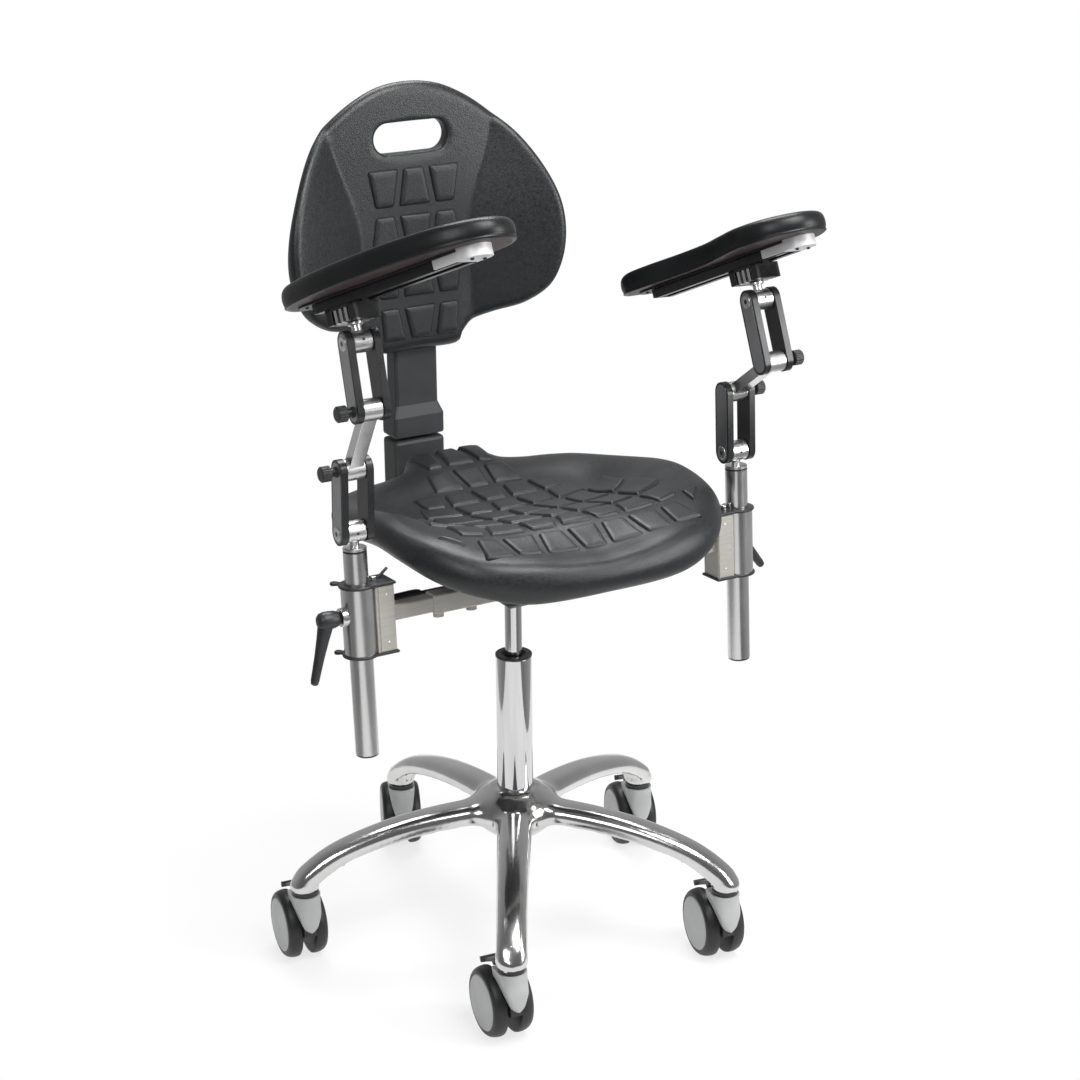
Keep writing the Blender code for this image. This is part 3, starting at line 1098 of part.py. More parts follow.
def main():
    clear_scene()
    base = joint_frame("stool", None, (COLUMN_X, COLUMN_Y, 0.0))
    make_star_base(base)
    for k in range(LEG_COUNT):
        azimuth = math.radians(FIRST_LEG_AZIMUTH + k * 360.0 / LEG_COUNT)
        place = (STEM_CIRCLE * math.cos(azimuth), STEM_CIRCLE * math.sin(azimuth), 0.0)
        caster = joint_frame(f"caster_{k}_swivel", base, place, heading=CASTER_HEADINGS[k])
        roll = joint_frame(f"caster_{k}_roll", caster, (CASTER_TRAIL, 0.0, AXLE_HEIGHT))
        pedal = joint_frame(f"caster_{k}_pedal", caster, (CASTER_TRAIL + 0.004, 0.0, CASTER_TOP - 0.006))
        make_caster(k, caster, roll, pedal)
    swivel = joint_frame("seat_swivel", base, (0.0, 0.0, ROD_BOTTOM))
    lift = joint_frame("seat_height", swivel)
    make_column(base, swivel, lift)
    tilt = joint_frame("seat_tilt", lift, (0.0, 0.0, TILT_HEIGHT - ROD_BOTTOM), tilt=-REST_TILT)
    lever_place = (-HOUSING_HALF_WIDTH - LEVER_OUT, -LEVER_Y, TILT_HEIGHT + LEVER_RISE - ROD_BOTTOM)
    lever = joint_frame("height_lever_lift", lift, lever_place)
    make_mechanism(lift, tilt, lever)
    make_seat(tilt)
    make_cross_beam(tilt)
    back_hinge = joint_frame("back_angle", tilt, (0.0, BACK_HINGE_Y, 0.0), tilt=REST_TILT)
    lean = math.radians(REST_TILT)
    origin = Vector((0.0, BACK_HINGE_Y * math.cos(lean), TILT_HEIGHT - BACK_HINGE_Y * math.sin(lean)))
    slide_place = Vector((0.0, UPRIGHT_FRONT + UPRIGHT_DEPTH / 2, SOCKET_TOP))
    back_slide = joint_frame("back_height", back_hinge, slide_place - origin)
    make_back(back_hinge, back_slide, origin, slide_place)
    for arm, pose in ARM_POSES.items():
        make_arm(arm, pose, tilt)


main()
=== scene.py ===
"""Looks of a surgeon stool: moulded seat, back and arm pads, star base, casters and arm links."""
import functools
import json
import math

import bmesh
import bpy
import numpy as np
from mathutils import Matrix, Vector


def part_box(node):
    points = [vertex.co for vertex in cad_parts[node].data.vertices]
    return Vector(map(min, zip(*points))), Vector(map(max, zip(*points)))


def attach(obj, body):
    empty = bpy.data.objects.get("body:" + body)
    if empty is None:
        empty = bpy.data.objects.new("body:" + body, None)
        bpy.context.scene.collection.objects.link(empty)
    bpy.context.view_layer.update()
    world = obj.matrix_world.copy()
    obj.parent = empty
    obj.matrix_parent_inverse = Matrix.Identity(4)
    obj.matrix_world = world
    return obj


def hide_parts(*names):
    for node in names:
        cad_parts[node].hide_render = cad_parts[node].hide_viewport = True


bl_info = {
    "name": "Surgeon stool looks",
    "version": (1, 0, 0),
    "blender": (4, 5, 0),
    "location": "3D View > Sidebar > Stool",
    "description": "Dresses the packed surgeon stool with its moulded, cast and machined pieces",
    "category": "Object",
}

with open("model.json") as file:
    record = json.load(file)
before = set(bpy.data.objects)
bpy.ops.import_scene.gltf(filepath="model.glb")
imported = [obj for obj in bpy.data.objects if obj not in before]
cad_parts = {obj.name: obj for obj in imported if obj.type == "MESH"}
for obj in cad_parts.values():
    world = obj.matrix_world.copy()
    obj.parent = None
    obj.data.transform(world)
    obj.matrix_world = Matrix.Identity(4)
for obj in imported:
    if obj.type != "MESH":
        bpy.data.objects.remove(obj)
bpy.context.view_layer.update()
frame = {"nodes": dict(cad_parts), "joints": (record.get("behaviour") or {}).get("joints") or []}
JOINTS = {joint["name"]: joint for joint in frame["joints"]}
SIDES = (("right", -1), ("left", 1))
CASTERS = range(5)
COLUMN = Vector(JOINTS["seat_swivel"]["pos_m"]).xy

SEAT_BOTTOM = 0.0321
SEAT_HALF_WIDTH = 0.236
SEAT_FRONT, SEAT_LENGTH = -0.270, 0.478
SEAT_MIDDLE = -0.040
SEAT_TONGUE = 0.058
SEAT_DIP = 0.047
SEAT_SWELL = 0.006  # how much higher the front is under each thigh
# shares of the reach: where the face has come up to the rim, where the edge starts, and the face's rings
SEAT_RIM_SHARE, SEAT_EDGE_SHARE = 0.93, 0.9
SEAT_FACE = np.linspace(0.04, 0.875, 26)
# the underside: share of the reach, and of the lower edge's height
SEAT_UNDER = ((0.82, 0.72), (0.72, 0.3), (0.62, 0.0))
# the face along the middle line: share of the length from the front, height over the dip
SEAT_PROFILE = ((0, -0.014), (0.042, 0.001), (0.08, 0.0125), (0.12, 0.0212), (0.16, 0.026), (0.20, 0.0275),
                (0.26, 0.0255), (0.35, 0.018), (0.45, 0.0095), (0.56, 0.004), (0.69, 0.009), (0.85, 0.027),
                (1, 0.044))
# half the outline: shares of the half width and of the length, from the front
SEAT_OUTLINE = (
    (0, 0), (0.42, 0.017), (0.70, 0.065), (0.88, 0.163), (0.97, 0.293), (0.99, 0.439),
    (0.995, 0.56), (0.965, 0.68), (0.90, 0.78), (0.79, 0.857), (0.65, 0.897), (0.49, 0.916),
)
# by degrees round from the +X side: the rim over the dip, the lower edge over the underside,
# and the share of the reach at which the face turns up to the rim
SEAT_RIM = ((-90, -0.001), (-75, 0.003), (-64, 0.010), (-50, 0.018), (-40, 0.028), (-32, 0.035), (-20, 0.040),
            (-12, 0.044), (-5, 0.045), (5, 0.041), (15, 0.0352), (26, 0.029), (35, 0.0253), (44, 0.0243),
            (52, 0.0240), (61, 0.0245), (69, 0.028), (75, 0.035), (80, 0.040), (90, 0.040))
SEAT_LOW = ((-90, 0.0), (-64, 0.0), (-50, 0.011), (-40, 0.021), (-33, 0.029), (-20, 0.043), (-5, 0.049),
            (10, 0.045), (23, 0.037), (45, 0.033), (61, 0.032), (75, 0.035), (90, 0.035))
SEAT_START = ((-90, 0.5), (-40, 0.45), (0, 0.48), (30, 0.60), (60, 0.60), (75, 0.5), (90, 0.5))
# the rounded edge: share of the reach, and of the fall from the face to the lower edge
SEAT_EDGE = (
    (0.90, 0.015), (0.94, 0.065), (0.97, 0.16), (0.99, 0.31), (1, 0.49), (0.997, 0.66), (0.985, 0.81),
    (0.965, 0.93), (0.935, 1.0),
)

BACK_BOTTOM = 0.786
BACK_HALF_WIDTH, BACK_HEIGHT = 0.209, 0.368
BACK_DEPTH = 0.252
BACK_LEAN = math.radians(2.8)
BACK_WING = 0.058
# below and above
BACK_PANEL = (0.084, 0.128)
BACK_THICK = (0.038, 0.024)
# half the outline: shares of the half width and of the height, from the top
BACK_OUTLINE = (
    (0, 1), (0.21, 0.985), (0.41, 0.935), (0.60, 0.86), (0.75, 0.78), (0.88, 0.665),
    (0.97, 0.54), (1, 0.42), (0.975, 0.31), (0.89, 0.21), (0.73, 0.145), (0.54, 0.112),
    (0.41, 0.082), (0.33, 0.040), (0.275, 0), (0, 0),
)
HOLE_HEIGHT, HOLE_LENGTH, HOLE_WIDTH = 0.294, 0.110, 0.042
# rings of its skin: distance from the hole's edge or from the rim, and share of the thickness
BACK_HOLE_FRONT = ((0.0, 0.30), (0.0006, 0.16), (0.0022, 0.05), (0.005, 0.008))
BACK_RIM = ((0.017, 0.0), (0.012, 0.01), (0.0075, 0.05), (0.0036, 0.13), (0.001, 0.24), (0.0, 0.38),
            (0.0004, 0.56), (0.003, 0.72), (0.008, 0.85), (0.018, 0.93), (0.034, 0.98))
BACK_HOLE_REAR = ((0.005, 0.99), (0.002, 0.94), (0.0006, 0.86), (0.0, 0.7))
# where the faces start from the hole, and where the front and the rear one end before the rim
BACK_FACE_START, BACK_FACE_END, BACK_REAR_END = 0.008, 0.022, 0.044

PAD_WIDTH, PAD_LENGTH, PAD_LOW, PAD_HEIGHT = 0.132, 0.344, 0.0156, 0.027
# shares of the width and of the length, and then the edge as shares of the outline and of the height
PAD_OUTLINE = (
    (-0.061, -0.5), (0.227, -0.442), (0.379, -0.291), (0.455, -0.102), (0.470, 0.087),
    (0.424, 0.247), (0.318, 0.392), (0.076, 0.488), (-0.227, 0.488), (-0.470, 0.401),
    (-0.530, 0.276), (-0.424, 0.145), (-0.303, 0.015), (-0.273, -0.145), (-0.303, -0.320),
    (-0.265, -0.442),
)
PAD_EDGE = (
    (0.60, 0), (0.955, 0), (0.99, 0.15), (1, 0.44), (0.985, 0.78), (0.93, 0.97),
    (0.80, 0.993), (0.45, 1),
)


class StoolSizes(bpy.types.PropertyGroup):
    tile_height: bpy.props.FloatProperty(
        name="Tile height", description="How far the moulded tiles stand up",
        default=0.0036, min=0.0005, max=0.006, unit="LENGTH")
    tile_gap: bpy.props.FloatProperty(
        name="Tile gap", description="Width of the grooves between the tiles",
        default=0.0075, min=0.003, max=0.02, unit="LENGTH")
    tile_corner: bpy.props.FloatProperty(
        name="Tile corner", description="Radius of a tile's corners",
        default=0.004, min=0.001, max=0.01, unit="LENGTH")


class StoolColours(bpy.types.PropertyGroup):
    foam: bpy.props.FloatVectorProperty(
        name="Foam", description="Colour of the moulded foam skin", subtype="COLOR", size=3,
        min=0, max=1, default=(0.0145, 0.0158, 0.0172))
    bright: bpy.props.FloatVectorProperty(
        name="Bright metal", description="Colour of polished and turned aluminium",
        subtype="COLOR", size=3, min=0, max=1, default=(0.64, 0.64, 0.635))
    beige: bpy.props.FloatVectorProperty(
        name="Beam", description="Colour of the cross beam and the clamp plates",
        subtype="COLOR", size=3, min=0, max=1, default=(0.39, 0.376, 0.347))
    black: bpy.props.FloatVectorProperty(
        name="Black", description="Colour of the straps, knobs, levers and caps",
        subtype="COLOR", size=3, min=0, max=1, default=(0.013, 0.0135, 0.0145))
    grey: bpy.props.FloatVectorProperty(
        name="Caster grey", description="Colour of the caster hoods and discs",
        subtype="COLOR", size=3, min=0, max=1, default=(0.375, 0.38, 0.38))


class StoolStage(bpy.types.PropertyGroup):
    lens: bpy.props.FloatProperty(
        name="Lens", description="Focal length of the camera", default=80.2, unit="CAMERA")
    key_power: bpy.props.FloatProperty(
        name="Key light", description="Power of the light above the front",
        default=56, min=0, unit="POWER")
    side_power: bpy.props.FloatProperty(
        name="Side light", description="Power of the light at the right",
        default=38, min=0, unit="POWER")
    top_power: bpy.props.FloatProperty(
        name="Top light", description="Power of the light overhead, a little behind the stool",
        default=46, min=0, unit="POWER")
    front_power: bpy.props.FloatProperty(
        name="Front light", description="Power of the light left of the camera",
        default=24, min=0, unit="POWER")


class Value:
    """A shader socket that can be used in sums."""

    def __init__(self, nodes, socket):
        self.nodes, self.socket = nodes, socket

    def sum(self, operation, other):
        return self.nodes.node("ShaderNodeMath", {"operation": operation}, {0: self, 1: other})

    def __add__(self, other):
        return self.sum("ADD", other)

    def __mul__(self, other):
        return self.sum("MULTIPLY", other)

    __radd__, __rmul__ = __add__, __mul__

    def at_most(self, other):
        return self.sum("MINIMUM", other)


class Nodes:
    """A shader tree, and one way to add any node to it."""

    def __init__(self, tree):
        self.tree = tree

    def give(self, socket, value):
        if isinstance(value, Value):
            self.tree.links.new(value.socket, socket)
        elif isinstance(value, (tuple, list)) and len(value) == 3 and socket.type == "RGBA":
            socket.default_value = (*value, 1)
        else:
            socket.default_value = value

    def node(self, kind, settings=None, sockets=None, out=0):
        """Adds a node, with its settings first and then its sockets' values or links."""
        node = self.tree.nodes.new(kind)
        for name, value in (settings or {}).items():
            if name == "stops":
                self.set_stops(node.color_ramp.elements, value)
            else:
                setattr(node, name, value)
        for name, value in (sockets or {}).items():
            self.give(node.inputs[name], value)
        return Value(self, node.outputs[out])

    def set_stops(self, elements, stops):
        for position, _ in stops[1:-1]:
            elements.new(position)
        for element, (position, colour) in zip(elements, stops):
            element.position, element.color = position, (*colour, 1)

    def ray(self, kind):
        return self.node("ShaderNodeLightPath", out=f"Is {kind} Ray")

    def show(self, share, first, second, output):
        """Mixes two shaders and shows them at the tree's output."""
        both = self.node("ShaderNodeMixShader", None, {0: share, 1: first, 2: second})
        self.tree.links.new(both.socket, self.tree.nodes[output].inputs["Surface"])


class Finish(Nodes):
    """A material with one shader."""

    def __init__(self, name):
        self.material = bpy.data.materials.new(name)
        self.material.use_nodes = True
        super().__init__(self.material.node_tree)
        self.shader = self.tree.nodes["Principled BSDF"]

    def place(self, stretch=None):
        spot = self.node("ShaderNodeTexCoord", out="Object")
        return self.node("ShaderNodeMapping", None, {"Vector": spot, "Scale": stretch}) if stretch else spot

    def noise(self, scale, detail, stretch=None):
        return self.node("ShaderNodeTexNoise", None,
                         {"Vector": self.place(stretch), "Scale": scale, "Detail": detail})

    def cells(self, scale):
        return self.node("ShaderNodeTexVoronoi", {"feature": "F1"}, {"Vector": self.place(), "Scale": scale})

    def mix(self, share, first, second):
        return self.node("ShaderNodeMix", {"data_type": "RGBA"}, {0: share, 6: first, 7: second}, out=2)

    def spread(self, value, low, high):
        """Stretches the middle of a noise over low to high."""
        return self.node("ShaderNodeMapRange", None, {"Value": value, 1: 0.3, 2: 0.7, 3: low, 4: high})

    def bump(self, height, strength, distance):
        self.set(Normal=self.node("ShaderNodeBump", None, {
            "Height": height, "Strength": strength, "Distance": distance}))

    def set(self, **values):
        for name, value in values.items():
            self.give(self.shader.inputs[name.replace("_", " ")], value)


def colours():
    return bpy.context.scene.stool_colours


def sizes():
    return bpy.context.scene.stool_sizes


def tints(ends):
    """Two ends of a colour: as given, or one of the stool's colours by two factors."""
    if not isinstance(ends[0], str):
        return ends
    colour = getattr(colours(), ends[0])
    return [tuple(min(1, channel * factor) for channel in colour) for factor in ends[1:]]


def moulded_foam():
    make = Finish("moulded foam skin")
    patch, pores, speck = make.noise(9, 3), make.noise(420, 3), make.noise(230, 2)
    make.set(Base_Color=make.mix(make.spread(patch * 0.3 + pores * 0.3 + speck * 0.4, 0, 1),
                                 *tints(("foam", 0.50, 1.30))),
             Roughness=make.spread(pores * 0.5 + speck * 0.5, 0.31, 0.50), Specular_IOR_Level=0.45)
    make.bump(make.cells(520) * 0.6 + pores * 0.5 + speck * 0.5, 0.32, 0.0007)
    return make


def plain_finish(name, tint, rough, grain, cloud, share=1.0, bump=(0.12, 0.0003), relief=None, **constants):
    """A finish with a cloudy colour, and a grain that its roughness and its bump follow.

    grain and cloud are scale, detail and stretch. share is how much of the roughness follows the grain
    instead of the cloud, and relief how much grain is added to a bump that follows the cloud."""
    make = Finish(name)
    fine, wide = make.noise(*grain), make.noise(*cloud)
    make.set(Base_Color=make.mix(make.spread(wide, 0, 1), *tints(tint)),
             Roughness=make.spread(fine if share == 1 else fine * share + wide * (1 - share), *rough),
             **constants)
    if bump:
        make.bump(fine * relief + wide if relief else fine, *bump)
    return make


BLACK = {"cloud": (25, 2), "share": 0.5}
DRAWN = (30, 2, (6, 6, 0.4))
FINISHES = {
    "pad skin": dict(name="arm pad skin", tint=("foam", 0.36, 0.62), rough=(0.30, 0.44), grain=(520, 3),
                     cloud=(12, 3), bump=(0.14, 0.0005), Specular_IOR_Level=0.30),
    "casting": dict(name="end casting", tint=((0.64, 0.64, 0.65), (0.74, 0.74, 0.75)), rough=(0.38, 0.52),
                    grain=(700, 2), cloud=(30, 2), bump=(0.10, 0.0003), Metallic=0.2),
    "polished": dict(name="polished aluminium", tint=("bright", 0.94, 1.05), rough=(0.13, 0.22),
                     grain=(260, 2), cloud=(14, 3), share=0.4, bump=(0.05, 0.0006), relief=0.3, Metallic=1.0),
    "chrome": dict(name="chrome", tint=((0.58, 0.58, 0.59), (0.64, 0.64, 0.645)), rough=(0.04, 0.10),
                   grain=DRAWN, cloud=DRAWN, bump=None, Metallic=1.0),
    "satin": dict(name="satin aluminium", tint=("bright", 0.97, 1.04), rough=(0.20, 0.27),
                  grain=(60, 2, (3, 3, 0.2)), cloud=(20, 2), share=0.4, bump=(0.008, 0.0002), Metallic=1.0),
    "turned": dict(name="turned aluminium", tint=("bright", 0.95, 1.06), rough=(0.24, 0.40),
                   grain=(160, 3, (0.4, 5, 5)), cloud=(30, 2), bump=(0.05, 0.0003), Metallic=1.0),
    "beam": dict(name="beam anodising", tint=("beige", 0.92, 1.07), rough=(0.36, 0.50), grain=(900, 2),
                 cloud=(120, 2, (0.3, 4, 4)), bump=(0.08, 0.0003), Metallic=0.25),
    # the straps' face inlay: a lighter grey copy of the straps' black anodising, painted sheen for the light
    # that the faces reflect
    "strap": dict(name="strap anodising", tint=((0.30, 0.302, 0.31), (0.35, 0.352, 0.36)), rough=(0.26, 0.36),
                  grain=(1500, 2), cloud=(25, 2), share=0.4, bump=(0.06, 0.0002), Metallic=0.9),
    "grey plastic": dict(name="caster grey", tint=("grey", 0.94, 1.06), rough=(0.34, 0.46), grain=(1000, 2),
                         cloud=(30, 2), bump=(0.10, 0.0003)),
    "board": dict(name="pad board", tint=((0.048, 0.032, 0.033), (0.066, 0.046, 0.047)), rough=(0.45, 0.60),
                  grain=(800, 2), cloud=(18, 2)),
    "black plastic": dict(name="black plastic", tint=("black", 1.105, 1.69), rough=(0.35, 0.50),
                          grain=(1100, 2), **BLACK),
    "black anodising": dict(name="black anodising", tint=("black", 0.85, 1.3), rough=(0.23, 0.38),
                            grain=(1500, 2), **BLACK),
    "cover": dict(name="upright cover", tint=("black", 1.615, 2.47), rough=(0.43, 0.58),
                  grain=(900, 2), **BLACK),
    "steel": dict(name="painted steel", tint=("black", 1.36, 2.08), rough=(0.29, 0.44),
                  grain=(700, 2), **BLACK),
    "tyre": dict(name="tyre rubber", tint=("black", 0.51, 0.78), rough=(0.37, 0.52),
                 grain=(500, 2), **BLACK),
}


@functools.cache
def finish(name):
    """The finish of that name, made when it is first asked for."""
    return (moulded_foam() if name == "foam" else plain_finish(**FINISHES[name])).material


def smooth(value):
    value = min(1.0, max(0.0, value))
    return value * value * (3 - 2 * value)


def curve_through(points, steps, closed=False):
    """Points along a smooth curve through the given ones."""
    points = [Vector(point) for point in points]
    count = len(points)
    line = []
    for index in range(count if closed else count - 1):
        if closed:
            a, b, c, d = (points[(index + shift) % count] for shift in (-1, 0, 1, 2))
        else:
            a, b, c, d = (points[min(count - 1, max(0, index + shift))] for shift in (-1, 0, 1, 2))
        for step in range(steps):
            t = step / steps
            line.append(0.5 * (2 * b + (c - a) * t + (2 * a - 5 * b + 4 * c - d) * t ** 2
                               + (3 * b - a - 3 * c + d) * t ** 3))
    if not closed:
        line.append(points[-1])
    return line


def half_to_loop(half):
    """A closed outline from its half on the +X side, top or front point first."""
    return list(half) + [(-x, y) for x, y in reversed(half) if abs(x) > 1e-6]


def skin(rings, ends="cap"):
    """Points and faces over rings of equal count: capped, closed on points, or joined in a loop."""
    count = len(rings[0])
    points = [Vector(point) for ring in rings for point in ring]
    faces = []
    for level in range(len(rings) if ends == "loop" else len(rings) - 1):
        low, high = level * count, (level + 1) % len(rings) * count
        for index in range(count):
            after = (index + 1) % count
            faces.append((low + index, low + after, high + after, high + index))
    if ends == "cap":
        faces.append(tuple(reversed(range(count))))
        faces.append(tuple(range(len(points) - count, len(points))))
    if ends == "fan":
        for start, turn in ((0, 1), (len(points) - count, -1)):
            middle = sum(points[start:start + count], Vector()) / count
            tip = len(points)
            points.append(middle)
            for index in range(count):
                face = (start + (index + 1) % count, start + index, tip)
                faces.append(face if turn > 0 else face[::-1])
    return points, faces


class Shell:
    """Points and faces of a piece, each face with the number of its finish."""

    def __init__(self):
        self.points, self.faces, self.marks = [], [], []

    def add(self, part, matrix=None, mark=0):
        points, faces = part
        start = len(self.points)
        self.points += [matrix @ point for point in points] if matrix else list(points)
        self.faces += [[start + index for index in face] for face in faces]
        self.marks += [mark] * len(faces)
        return self


def hand_over(piece, body, replaced=()):
    """Hands a piece to the body that carries it and hides the CAD nodes that it stands for."""
    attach(piece, body)
    if replaced:
        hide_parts(*replaced)


def build(name, shell, body, finishes, replaced=(), bevel=0.0, segments=2, sharp=None):
    """Makes a piece of a shell, puts its finishes on and hands it to its body."""
    mesh = bpy.data.meshes.new(name)
    mesh.from_pydata([tuple(point) for point in shell.points], [], shell.faces)
    mesh.polygons.foreach_set("material_index", shell.marks)
    work = bmesh.new()
    work.from_mesh(mesh)
    bmesh.ops.recalc_face_normals(work, faces=work.faces)
    work.to_mesh(mesh)
    work.free()
    mesh.shade_smooth()
    if sharp:
        mesh.set_sharp_from_angle(angle=math.radians(sharp))
    for each in finishes:
        mesh.materials.append(finish(each))
    piece = bpy.data.objects.new(name, mesh)
    bpy.context.scene.collection.objects.link(piece)
    if bevel:
        edge = piece.modifiers.new("edges", "BEVEL")
        edge.width, edge.segments = bevel, segments
        edge.limit_method, edge.angle_limit = "ANGLE", math.radians(32)
        edge.harden_normals = True
    hand_over(piece, body, replaced)
    return piece


def joint_spot(name):
    return Vector(JOINTS[name]["pos_m"])


def joint_axis(name):
    return Vector(JOINTS[name]["axis"]).normalized()


def axes_at(origin, along_x, along_z):
    """A frame with its Z on one direction and its X as near as can be to another."""
    up = Vector(along_z).normalized()
    across = Vector(along_x) - up * Vector(along_x).dot(up)
    across.normalize()
    deep = up.cross(across)
    matrix = Matrix((across, deep, up)).transposed().to_4x4()
    matrix.translation = origin
    return matrix


def tilt_frame():
    origin = joint_spot("seat_tilt")
    rear = joint_spot("back_angle") - origin
    return axes_at(origin, (1, 0, 0), Vector((1, 0, 0)).cross(rear))


def box_in(node, matrix):
    """Lowest and highest corner of a CAD node in a frame."""
    back = matrix.inverted()
    corners = [back @ vertex.co for vertex in frame["nodes"][node].data.vertices]
    return (Vector([min(corner[axis] for corner in corners) for axis in range(3)]),
            Vector([max(corner[axis] for corner in corners) for axis in range(3)]))


def inset_corners(corners, inset):
    """Moves the sides of a convex outline inwards."""
    count = len(corners)
    moved = []
    for index in range(count):
        before, here, after = corners[index - 1], corners[index], corners[(index + 1) % count]
        first, second = (here - before).normalized(), (after - here).normalized()
        left_first, left_second = Vector((-first.y, first.x)), Vector((-second.y, second.x))
        bend = 1 + left_first.dot(left_second)
        moved.append(here + (left_first + left_second) * (inset / max(0.2, bend)))
    return moved


def round_corners(corners, radius, steps=4):
    """A convex outline with its corners rounded off."""
    count = len(corners)
    loop = []
    for index in range(count):
        here = corners[index]
        before, after = corners[index - 1] - here, corners[(index + 1) % count] - here
        reach = min(radius, 0.45 * before.length, 0.45 * after.length)
        start, end = here + before.normalized() * reach, here + after.normalized() * reach
        for step in range(steps + 1):
            t = step / steps
            loop.append(start * (1 - t) ** 2 + here * 2 * t * (1 - t) + end * t * t)
        flat = corners[(index + 1) % count]
        for step in (0.35, 0.65):
            loop.append(here.lerp(flat, step))
    return loop


# a tile's skirt: how far out and how deep. Its shoulder: how far in, and share of the height. Rings on top
TILE_SKIRT = (-0.0016, -0.0030)
TILE_SHOULDER = ((0.0, 0.0), (0.0009, 0.50), (0.0019, 0.85), (0.0036, 1.0))
TILE_TOP = (0.72, 0.42, 0.14)
TILE_LEAST_CORNER = 0.0012


def tile(corners, lift):
    """A raised pad with soft edges on a curved face. lift gives a point over the face."""
    corners = [Vector(corner) for corner in corners]
    area = sum(a.x * b.y - b.x * a.y for a, b in zip(corners, corners[1:] + corners[:1]))
    if area < 0:
        corners.reverse()
    height, radius = sizes().tile_height, sizes().tile_corner
    rings = []
    for inset, rise in (TILE_SKIRT, *((inset, share * height) for inset, share in TILE_SHOULDER)):
        loop = round_corners(inset_corners(corners, inset), max(TILE_LEAST_CORNER, radius - inset))
        rings.append([lift(point.x, point.y, rise) for point in loop])
    middle = sum(loop, Vector((0, 0))) / len(loop)
    for share in TILE_TOP:
        rings.append([lift(*(middle.lerp(point, share)), height) for point in loop])
    return skin(rings, "fan")


def seat_y(share):
    return SEAT_FRONT + SEAT_LENGTH * share


def seat_loop(steps):
    """The seat's outline from above, with its tongue at the rear."""
    wide, tongue = SEAT_HALF_WIDTH, SEAT_TONGUE
    half = [(x * wide, seat_y(share)) for x, share in SEAT_OUTLINE]
    half += [(1.28 * tongue, seat_y(0.937)), (tongue, seat_y(0.979)), (0.8 * tongue, seat_y(1)),
             (0, seat_y(1))]
    return curve_through(half_to_loop(half), steps, closed=True)


@functools.cache
def rows_of(table):
    """A smooth curve through a table, as two rows of numbers to read between."""
    line = np.array(curve_through(table, 10))
    return line[:, 0], line[:, 1]


def along(table, value):
    """What a table says at a value."""
    return float(np.interp(value, *rows_of(table)))


@functools.cache
def seat_reach():
    """The outline's distance from the seat's middle, by degrees round from the +X side."""
    turns = np.linspace(-90, 90, 361)
    return turns, reach_of(seat_loop(12), Vector((0, SEAT_MIDDLE)), np.radians(turns))


def seat_turn(x, y):
    return math.degrees(math.atan2(y - SEAT_MIDDLE, abs(x)))


def seat_crown(x, y):
    """Height of the seat's face over its underside, before the edge falls away."""
    share, off = (y - SEAT_FRONT) / SEAT_LENGTH, abs(x) / SEAT_HALF_WIDTH
    centre = along(SEAT_PROFILE, share)
    centre += SEAT_SWELL * smooth((off - 0.35) / 0.35) * smooth((0.42 - share) / 0.2)
    turn = seat_turn(x, y)
    out = math.hypot(y - SEAT_MIDDLE, x) / float(np.interp(turn, *seat_reach()))
    start = along(SEAT_START, turn)
    weight = smooth((out - start) / (SEAT_RIM_SHARE - start))
    return SEAT_DIP + centre * (1 - weight) + along(SEAT_RIM, turn) * weight


def seat_skin():
    """The whole moulded seat in the tilt frame, from the middle of its face to its flat underside."""
    middle = Vector((0, SEAT_MIDDLE))
    loop = [point - middle for point in seat_loop(9)]
    face = [(share, 0.0) for share in SEAT_FACE]
    edge = [tuple(point) for point in curve_through(SEAT_EDGE, 4)]
    rings = []
    for share, fall in face + edge:
        ring = []
        for arm in loop:
            spot = middle + arm * share
            top = seat_crown(*(middle + arm * min(share, SEAT_EDGE_SHARE)))
            low = along(SEAT_LOW, seat_turn(*spot))
            ring.append((spot.x, spot.y, SEAT_BOTTOM + top + (low - top) * fall))
        rings.append(ring)
    last = rings[-1]
    for share, lift in SEAT_UNDER:
        rings.append([(*(middle + arm * share), SEAT_BOTTOM + (low[2] - SEAT_BOTTOM) * lift)
                      for arm, low in zip(loop, last)])
    return skin(rings, "fan")


def slopes(face, x, y, step=0.002):
    """How a face rises along both directions of the plane that it stands over."""
    return ((face(x + step, y) - face(x - step, y)) / (2 * step),
            (face(x, y + step) - face(x, y - step)) / (2 * step))


def seat_lift(x, y, rise):
    """A point over the seat's face, in the tilt frame."""
    slope_x, slope_y = slopes(seat_crown, x, y)
    spot = Vector((x, y, SEAT_BOTTOM + seat_crown(x, y)))
    return spot + Vector((-slope_x, -slope_y, 1)).normalized() * rise


SEAT_ROWS = (
    # rear and front edge, how far each bows back at the sides, separators from the middle outwards
    (0.188, 0.134, 0.0, 0.0, (0.0205, 0.055)),
    (0.125, 0.082, 0.0, 0.0, (0.0215, 0.066)),
    (0.073, 0.035, 0.004, 0.006, (0.022, 0.066, 0.106)),
    (0.026, -0.013, 0.028, 0.030, (0.022, 0.068, 0.118)),
    (-0.022, -0.077, 0.042, 0.040, (0.022, 0.069, 0.120, 0.163)),
    (-0.086, -0.138, 0.034, 0.028, (0.022, 0.070, 0.121, 0.167)),
    (-0.147, -0.177, 0.022, 0.012, (0.022, 0.069, 0.117, 0.160)),
    (-0.185, -0.224, 0.006, -0.002, (0.022, 0.068, 0.113, 0.152)),
)
SEAT_CORNER_TILE = ((0.166, -0.160), (0.192, -0.163), (0.166, -0.194))
# the lean of a tile's sides, how much wider it is in front, and the distance out at which a row bows fully
SEAT_TILE_LEAN, SEAT_TILE_SPREAD, SEAT_BOW_REACH = 0.003, 1.03, 0.15


